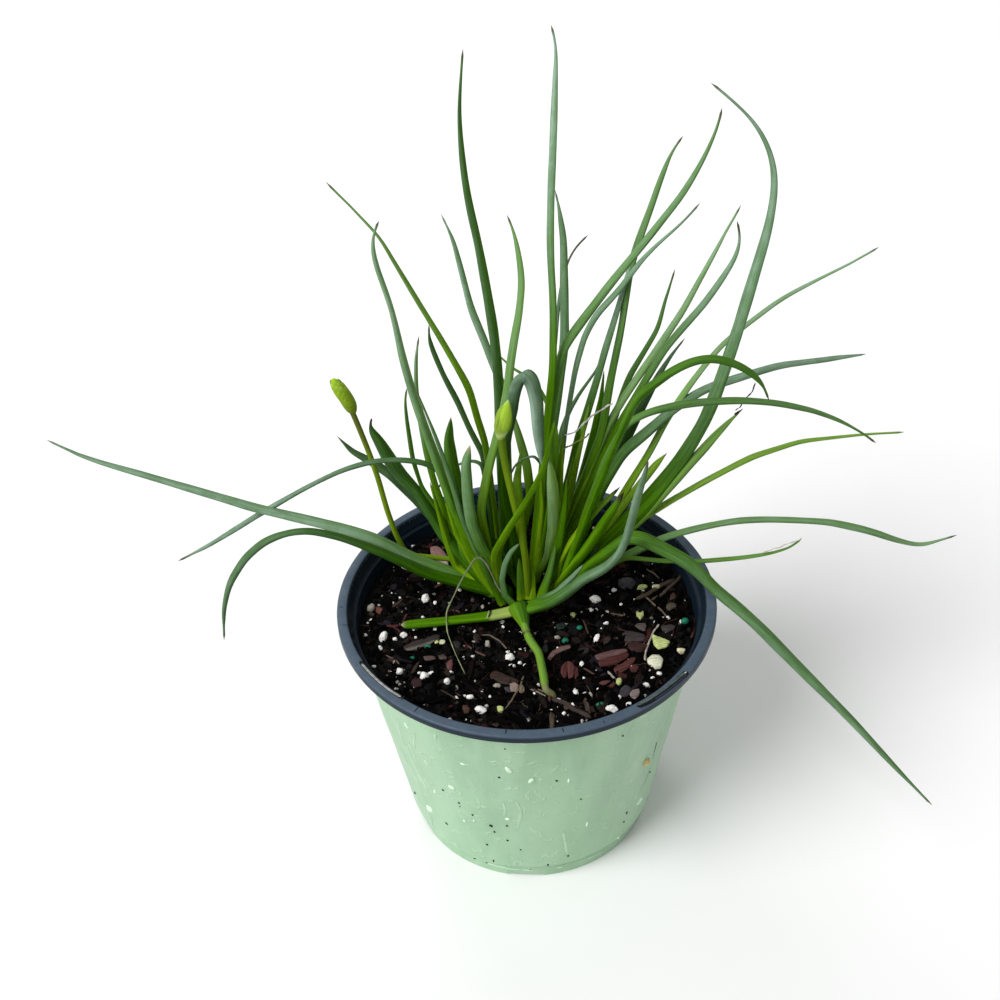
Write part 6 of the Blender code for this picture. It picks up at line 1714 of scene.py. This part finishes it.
STEM_KINKS = ((545.6, 690, 111.2), (543.6, 676, 111.8), (541, 663, 112.0), (539, 654, 112.2),
              (537, 650, 112.3), (533, 644.5, 112.4), (529.4, 639, 112.4), (527, 633.5, 112.4))
crown = spots_at([SHEATH_TOP])[0]
rising = spots_at(STEM_KINKS)
route = [(*FRONT_HOLE, SOIL_Z - HOLE_DEPTH + 3.0), (*FRONT_HOLE, SOIL_Z + 1.5), *rising,
         0.5 * (rising[-1] + crown)]
path = eased(resample(np.array(route), FRONT_STEM_RINGS), 5)
joint = rising[-1]
near_joint = np.linalg.norm(path - joint, axis=1)
tan_end = smooth_step(pixels_of(path)[:, 1], 683.0, 690.0)
stem_bright = 0.96 - 0.30 * np.exp(-(near_joint / 0.8) ** 2)
stem_look = np.column_stack([np.full(len(path), 0.10), stem_bright, 0.8 * tan_end])
widths = FRONT_STEM_WIDTH * (1.0 + 0.22 * smooth_step(path[:, 1], FRONT_HOLE[1] + 1.0, FRONT_HOLE[1] + 5.0)
                             - 0.10 * np.exp(-(near_joint / 1.2) ** 2))
# Both the stem and the sheath are painted darker toward their right: painted shade.
bodies = [rod(path, widths, stem_look, 0.25 * tan_end, shade=0.16)]
sheath = [joint, *spots_at([(524.5, 624, 114.0), (521, 613, 116.0)]), crown + 0.12 * (crown - joint)]
sheath = eased(resample(np.array(sheath), SHEATH_RINGS), 3)
rise = np.linspace(0.0, 1.0, SHEATH_RINGS)
widths = FRONT_STEM_WIDTH + (1.36 * SHEATH_WIDTH - FRONT_STEM_WIDTH) * smooth_step(rise, 0.0, 0.85)
widths *= np.sqrt(np.clip(1.0 - ((rise - 0.86) / 0.14).clip(0.0) ** 2, 0.02, 1.0))
sheath_look = np.column_stack([np.full(SHEATH_RINGS, 0.02), 0.98 - 0.04 * rise,
                               0.85 * np.exp(-(rise * 20.0) ** 2)])
sheath_pale = 0.30 * np.exp(-(rise * 7.0) ** 2)
bodies.append(rod(sheath, widths, sheath_look, sheath_pale, shade=0.66, flat=0.72))
for width, depth, power, look, fuller, _, pixels in FRONT_LEAVES.values():
    seed += 1
    path = smooth_path([crown - (0.0, 0.0, 2.0)] + rising_points(crown, depth, pixels), 1.8)
    bodies.append(blade(path, 0.90 * width, seed, power, look, fuller))
path = smooth_path([crown - (0.0, 0.0, 1.5), *spots_at(LYING_LEAF[::-1])], 1.2)
lying = blade(path, 1.25 * LYING_LEAF_WIDTH, 61, LYING_LEAF_POWER, LYING_LEAF_LOOK)
cream = smooth_step(pixels_of(lying[0])[:, 0], 488.0, 492.0)
lying[2][2][:, 1] = np.maximum(lying[2][2][:, 1], 0.38 * cream)
lying[2][1][:, 1] += 0.12 * cream
bodies.append(lying)
path = smooth_path([crown - (0.0, 0.0, 1.5), *spots_at(DRY_CURL[::-1])], 1.0)
along = arc_lengths(path) / arc_lengths(path)[-1]
widths = 0.62 * DRY_CURL_WIDTH * (1.0 - along ** 3).clip(0.4) * round_ends(path, 1.0)
widths *= 1.0 + 0.25 * np.sin(55.0 * along) + 0.12 * np.sin(131.0 * along)
curl_look = np.column_stack([np.full(len(path), 0.5), np.full(len(path), 0.6),
                             0.55 - 0.25 * smooth_step(along, 0.5, 0.7)])
bodies.append(rod(path, widths, curl_look, 0.10 + 0.30 * smooth_step(along, 0.45, 0.7)))
piece = joined("leaves_front", bodies, leaf_matter, LEAF_MARKS)
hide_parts("shoot_front")

# Dry matter on the front shoot and among the leaves: rings at its joints, dry threads, a tan
# flake and the black threads of withered tips. Threads: route in pixels, depth at its start and
# at its end, width and tint.
dry_skin = tinted("dry_skin", 0.7, 0.2)
CREAM_SKIN = (0.55, 0.50, 0.36)
BLACK_SKIN = (0.014, 0.010, 0.008)
THREAD_RINGS = 36
THREADS = (
    ((613.6, 403, 602, 409, 590.6, 417, 583, 424, 577, 430, 571, 434, 565, 435), 47, 42, 0.8, (0.94, 0.92,
     0.86)),
    ((590, 433, 582, 439, 572, 445, 562, 450), 44.6, 41.6, 0.8, (0.33, 0.42, 0.08)),
    ((802, 538, 790, 543, 776, 549, 762, 553), 5.1, 6.5, 0.6, (0.7, 0.66, 0.56)),
    ((735, 415, 739, 412, 742, 408), 30.6, 31.2, 0.7, BLACK_SKIN),
    ((735, 411, 744, 401, 751, 392, 756, 383), 31.2, 28, 0.6, BLACK_SKIN),
    ((427.5, 432.5, 427, 435, 426.4, 437.6), 14.4, 14.4, 1.7, (0.3, 0.22, 0.13)),
    ((427, 437.4, 428.5, 440, 427.6, 442.4), 14.4, 14.4, 1.5, (0.24, 0.17, 0.1)),
    ((473, 516, 475, 521, 474, 527), 7.2, 8.2, 0.7, (0.7, 0.7, 0.6)),
    ((477, 531, 480, 537, 481, 544), 8.6, 9.8, 0.6, (0.66, 0.66, 0.56)),
)


def hoop(spot, axis, radius, tube, squash=1.0, count=28):
    """A ring of round wire: radius·(cos, squash·sin) about its axis, in its tube's thickness."""
    axis = unit(np.asarray(axis, float))
    side = unit(np.cross(axis, (0.0, 0.0, 1.0) if abs(axis[2]) < 0.9 else (0.0, 1.0, 0.0)))
    upper = np.cross(side, axis)
    t = even_turns(count)[:, None, None]
    p = even_turns(8)[None, :, None]
    out = side * np.cos(t) + squash * upper * np.sin(t)
    rings = spot + out * (radius + tube * np.cos(p)) + axis * 1.2 * tube * np.sin(p)
    grid = np.arange(count * 8).reshape(count, 8)
    next_row, next_side = np.roll(grid, -1, axis=0), np.roll(grid, -1, axis=1)
    quads = np.stack([grid, next_side, np.roll(next_row, -1, axis=1), next_row], -1).reshape(-1, 4)
    return rings.reshape(-1, 3), [quads]


bodies = []
for pixels, start_depth, end_depth, width, tint in THREADS:
    pixels = np.array(pixels, float).reshape(-1, 2)
    depths = np.linspace(start_depth, end_depth, len(pixels)) - 2.0
    path = eased(resample(at_depth(pixels, depths), THREAD_RINGS), 3)
    path += 0.22 * wandering(path, 5.0, 63)
    widths = width * both_ends(path, 1.5 * width) * (1.0 + 0.2 * waves(path, 2.6, 8, 64))
    points, faces = tube(path, widths, 0.7 * widths, side=RIGHT + 0.3 * UP)
    bodies.append(one_tint(points, faces, tint))
rising_way, lying_way = crown - joint, RIGHT - 0.3 * UP
near_ring, far_ring = spots_at([(489.5, 615.4, 112.8), (487.6, 615.6, 112.8)])
for spot, way, radius, tint in ((joint, rising_way, 1.62, (0.020, 0.016, 0.010)),
                                (joint + 0.06 * rising_way, rising_way, 1.72, (0.42, 0.22, 0.08)),
                                (near_ring, lying_way, 2.15, BLACK_SKIN),
                                (far_ring, lying_way, 2.25, CREAM_SKIN)):
    bodies.append(one_tint(*hoop(spot, way, radius, 0.17, 0.9), tint))
joined("dry_threads", bodies, dry_skin)

# The flower spikes: round stems with a head in bud. The left head is a plump cone of flat
# bracts laid like scales; the centre one is a smooth bud folded in its long bracts.
SPIKE_FOOT = 8.0
LEFT_HOLE = (-22.0, 27.5)
LEFT_DEPTH = 37.0
LEFT_STEM = (352, 411, 360, 430, 370, 455, 378, 478, 387, 510, 396, 535, 407, 555)
LEFT_STEM_WIDTH = 2.4
CENTRE_HOLE = (1.2, 10.0)
CENTRE_DEPTH = 8.0
CENTRE_STEM = (501, 436, 503, 453, 508, 478, 514, 503, 520, 527, 525, 555)
CENTRE_STEM_WIDTH = 3.0
GOLDEN_ANGLE = math.radians(137.5)

spike_matter, tree, shader = new_material("spike_skin", IOR=1.42, Specular_IOR_Level=0.06)
looks = parts_of(tree, from_mark(tree, "looks"))
veins = stretched(tree, from_mark(tree, "place"), (0.06, 2.4, 1.0))
lines = mottled(tree, veins, 1.6)
colour = blend_colours(tree, looks["Y"], (0.025, 0.050, 0.004, 1.0), (0.360, 0.580, 0.014, 1.0))
for share, tint in ((ramp(tree, lines, 0.0, 1.0, 0.0, 0.3), (0.07, 0.12, 0.01, 1.0)),
                    (looks["Z"], (0.130, 0.090, 0.030, 1.0)), (looks["X"], (0.52, 0.66, 0.30, 1.0))):
    colour = blend_colours(tree, share, colour, tint)
finish_skin(tree, shader, colour, lines, 0.32, 0.48)
pressed(tree, shader, veins, 3.0, 0.2)


def spike_stem(hole, depth, stem, width, tip, top_look):
    """A spike's stem from its hole up: pale olive, and toward the head in the look given."""
    foot = np.array([*hole, SOIL_Z])
    rising = rising_points(foot, depth, stem)
    route = [foot - (0.0, 0.0, HOLE_DEPTH), foot, foot + (0.0, 0.0, SPIKE_FOOT)] + rising
    path = smooth_path(route + [0.75 * rising[-1] + 0.25 * tip], 2.0)
    share = smooth_step(arc_lengths(path) / arc_lengths(path)[-1], 0.72, 0.95)[:, None]
    look = (1.0 - share) * np.array([0.0, 0.46, 0.0]) + share * np.array(top_look)
    points, faces, marks = rod(path, np.full(len(path), width), look)
    return points, faces, marks[:2]


def head_rings(pairs, depth, rows, sides, deep):
    """A head between two seen edges: rings between left and right pixels, deep·width thick."""
    pairs = np.array(pairs, float)
    middle = at_depth(0.5 * (pairs[:, :2] + pairs[:, 2:]), depth)
    widths = np.linalg.norm(at_depth(pairs[:, 2:], depth) - at_depth(pairs[:, :2], depth), axis=1)
    along = arc_lengths(middle)
    wanted = np.linspace(0.0, along[-1], rows)
    path = eased(between(wanted, along, middle), 2)
    wide = np.interp(wanted, along, widths)
    for _ in range(2):
        wide[1:-1] = 0.25 * wide[:-2] + 0.5 * wide[1:-1] + 0.25 * wide[2:]
    return path, wide, loft(path, round_section(sides), wide, deep * wide, side=RIGHT)


def head_frame(path):
    """A head's axis, and the ways to its front, which faces the eye, and to its side."""
    axis = unit(path[-1] - path[0])
    front = unit(-AHEAD - axis * (-AHEAD @ axis))
    return axis, front, np.cross(axis, front)


def placed_scale(middle, across, up, out, sizes, look, tilt=0.0):
    """A bract: a leaf-shaped shell, sin(pi·s^0.8)^0.6 wide, curved round the head, with a look."""
    s = np.linspace(0.0, 1.0, 12)[:, None]
    t = even_turns(14)
    wide = np.sin(math.pi * s ** 0.8).clip(0.0) ** 0.6 + 0.02
    x = 0.5 * wide * np.cos(t) * sizes[0]
    y = sizes[2] * (0.5 * wide * np.sin(t) - 0.9 * (wide * np.cos(t)) ** 2 * 0.5) + tilt * s * sizes[1]
    z = (s + 0.0 * t) * sizes[1]
    points = middle + x[..., None] * across + y[..., None] * out + z[..., None] * up
    made, faces = closed_sleeve(points)
    along = s[sleeve_rows(12, 14), 0]
    side = np.concatenate([(wide * np.cos(t)).ravel(), [0.0, 0.0]])
    marks = np.column_stack([along * 6.0, side, np.full(len(along), 10.0 * middle[0])])
    bright = look[1] * (0.80 + 0.35 * along) * (1.0 - 0.25 * np.abs(side) ** 4)
    looks = np.column_stack([look[0] * along ** 2, bright, look[2] * (1.0 - along) ** 2])
    return made, faces, (marks, looks)


LEFT_HEAD = ((352.2, 414.8, 355.8, 412.7), (349.6, 414.0, 356.8, 409.7), (347.1, 412.2, 356.9, 406.4),
             (343.6, 408.2, 356.0, 400.9), (339.8, 401.7, 352.4, 394.2), (334.4, 394.6, 347.3, 387.0),
             (331.4, 389.3, 342.5, 382.7), (330.3, 385.2, 339.3, 379.9), (330.6, 382.2, 336.8, 378.6),
             (331.8, 379.9, 334.6, 378.3))
tip = at_depth((334.5, 378.5), LEFT_DEPTH)[0]
stem = spike_stem(LEFT_HOLE, LEFT_DEPTH, LEFT_STEM, LEFT_STEM_WIDTH, tip, (0.0, 0.20, 0.45))
LEFT_ROWS = 22
LEFT_SIDES = 24
path, wide, rings = head_rings(LEFT_HEAD, LEFT_DEPTH, LEFT_ROWS, LEFT_SIDES, 0.95)
core, faces = closed_sleeve(path[:, None] + 0.92 * (rings - path[:, None]))
rise = np.linspace(0.0, 1.0, LEFT_ROWS)[sleeve_rows(LEFT_ROWS, LEFT_SIDES)]
core_looks = np.column_stack([0.0 * rise, 0.40 + 0.60 * rise, 0.30 - 0.30 * rise])
bodies = [stem, (core, faces, (core, core_looks))]
SCALE_COUNT = 56
axis, front, side = head_frame(path)
for i in range(SCALE_COUNT):
    share = 0.02 + 0.84 * (i + 0.5) / SCALE_COUNT
    spin = i * GOLDEN_ANGLE
    row = share * (LEFT_ROWS - 1)
    middle = between(row, np.arange(LEFT_ROWS), path)[0]
    girth = np.interp(row, np.arange(LEFT_ROWS), wide)
    out = front * math.cos(spin) + side * math.sin(spin)
    across = np.cross(out, axis)
    lean = -0.04 - 0.30 * share ** 4
    up = axis * math.cos(lean) + out * math.sin(lean)
    size = 0.34 * girth + 0.5
    look = (0.16 + 0.10 * share, 0.50 + 0.55 * share, 0.30 * (1.0 - share) ** 2)
    bodies.append(placed_scale(middle + out * 0.42 * girth, across, up, out, (size, 1.2 * size, 0.40),
                               look))
SPIKE_MARKS = ("place", "looks")
piece = joined("spike_left", bodies, spike_matter, SPIKE_MARKS, sharp_deg=60.0)
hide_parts("flower_spike_left")

CENTRE_HEAD = ((498.4, 440, 504.6, 440), (496.2, 436, 505.6, 436.6), (494.4, 430, 507.4, 432),
               (493.8, 426, 509.2, 427.5), (494.6, 420, 511.2, 420.5), (496.6, 413, 511.8, 414),
               (499.8, 408.5, 511.8, 410), (503.4, 404.6, 511.0, 406), (506.0, 401.6, 509.8, 402.6),
               (507.6, 399.8, 508.8, 400.2))
tip = at_depth((508.2, 400.0), CENTRE_DEPTH)[0]
stem = spike_stem(CENTRE_HOLE, CENTRE_DEPTH, CENTRE_STEM, CENTRE_STEM_WIDTH, tip, (0.0, 0.26, 0.0))
CENTRE_ROWS = 26
CENTRE_SIDES = 28
path, wide, rings = head_rings(CENTRE_HEAD, CENTRE_DEPTH, CENTRE_ROWS, CENTRE_SIDES, 0.9)
bud, faces = closed_sleeve(rings)
rise = np.linspace(0.0, 1.0, CENTRE_ROWS)[sleeve_rows(CENTRE_ROWS, CENTRE_SIDES)]
around = sleeve_round(np.cos(even_turns(CENTRE_SIDES)), CENTRE_ROWS)
band = np.exp(-((rise - 0.17 - 0.05 * around) / 0.07) ** 2)
fold = smooth_step(around - 2.0 * (0.38 - rise), -0.14, 0.14)
bud_looks = np.column_stack([0.10 + 0.55 * band + 0.30 * smooth_step(rise, 0.88, 1.0),
                             0.56 + 0.42 * fold * smooth_step(rise, 0.2, 0.4) + 0.2 * band,
                             0.20 * np.exp(-(rise / 0.10) ** 2)])
bodies = [stem, (bud, faces, (np.column_stack([rise * 12.0, around, 0.0 * rise]), bud_looks))]
axis, front, side = head_frame(path)
girth = wide.max()
total = np.linalg.norm(path[-1] - path[0])
for spin_deg, share, length, breadth in ((-100.0, 0.20, 0.70, 0.9), (170.0, 0.08, 0.84, 1.0)):
    cosine, sine = heading_of(spin_deg)
    middle = between(share * (CENTRE_ROWS - 1), np.arange(CENTRE_ROWS), path)[0]
    out = front * cosine + side * sine
    bodies.append(placed_scale(middle + out * 0.34 * girth, np.cross(out, axis), axis, out,
                               (breadth * girth, length * total, 0.8), (0.15, 0.62, 0.0), tilt=-0.10))
piece = joined("spike_centre", bodies, spike_matter, SPIKE_MARKS, sharp_deg=60.0)
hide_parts("flower_spike_centre")

# The floor and the light: a plain pale sheet, one soft sun from the upper left in front, a
# small soft lamp behind on the left for the bright rim, and a pale sky.
SUN_STRENGTH = 2.7
SUN_ANGLE = 0.6
BACK_LAMP = (-0.45, 1.0, 0.95)
BACK_LAMP_SIZE = 0.5
BACK_LAMP_POWER = 3.0
SKY_STRENGTH = 0.45
FLOOR_REACH = 3.0
sheet, tree, shader = new_material("pale_sheet", Roughness=0.8, Specular_IOR_Level=0.2)
weave = mottled(tree, own_coords(tree), 3.0)
tree.links.new(blend_colours(tree, weave, (0.89, 0.89, 0.89, 1.0), (0.91, 0.91, 0.91, 1.0)),
               shader.inputs["Base Color"])
floor_mesh = bpy.data.meshes.new("floor")
floor_corners = [(FLOOR_REACH * x, FLOOR_REACH * y, 0.0) for x, y in ((-1, -1), (1, -1), (1, 1), (-1, 1))]
floor_mesh.from_pydata(floor_corners, [], [(0, 1, 2, 3)])
floor_mesh.materials.append(sheet)
floor = show(bpy.data.objects.new("floor", floor_mesh))


def add_light(name, kind, way, place=(0.0, 0.0, 0.0), **settings):
    """A light at a place, whose beam comes from the way given."""
    light = bpy.data.lights.new(name, kind)
    for key, value in settings.items():
        setattr(light, key, value)
    holder = show(bpy.data.objects.new(name, light))
    holder.location = place
    holder.rotation_euler = Vector(way).to_track_quat('Z', 'Y').to_euler()


add_light("soft_sun", 'SUN', SUN_WAY, energy=SUN_STRENGTH, angle=SUN_ANGLE)
add_light("back_lamp", 'AREA', Vector(BACK_LAMP) - Vector((0.0, 0.0, POT_HEIGHT * MM)), BACK_LAMP,
          energy=BACK_LAMP_POWER, size=BACK_LAMP_SIZE)
sky = bpy.data.worlds.new("pale_sky")
sky.use_nodes = True
glow = sky.node_tree.nodes["Background"].inputs
glow["Color"].default_value = (1.0, 1.0, 1.0, 1.0)
glow["Strength"].default_value = SKY_STRENGTH
bpy.context.scene.world = sky
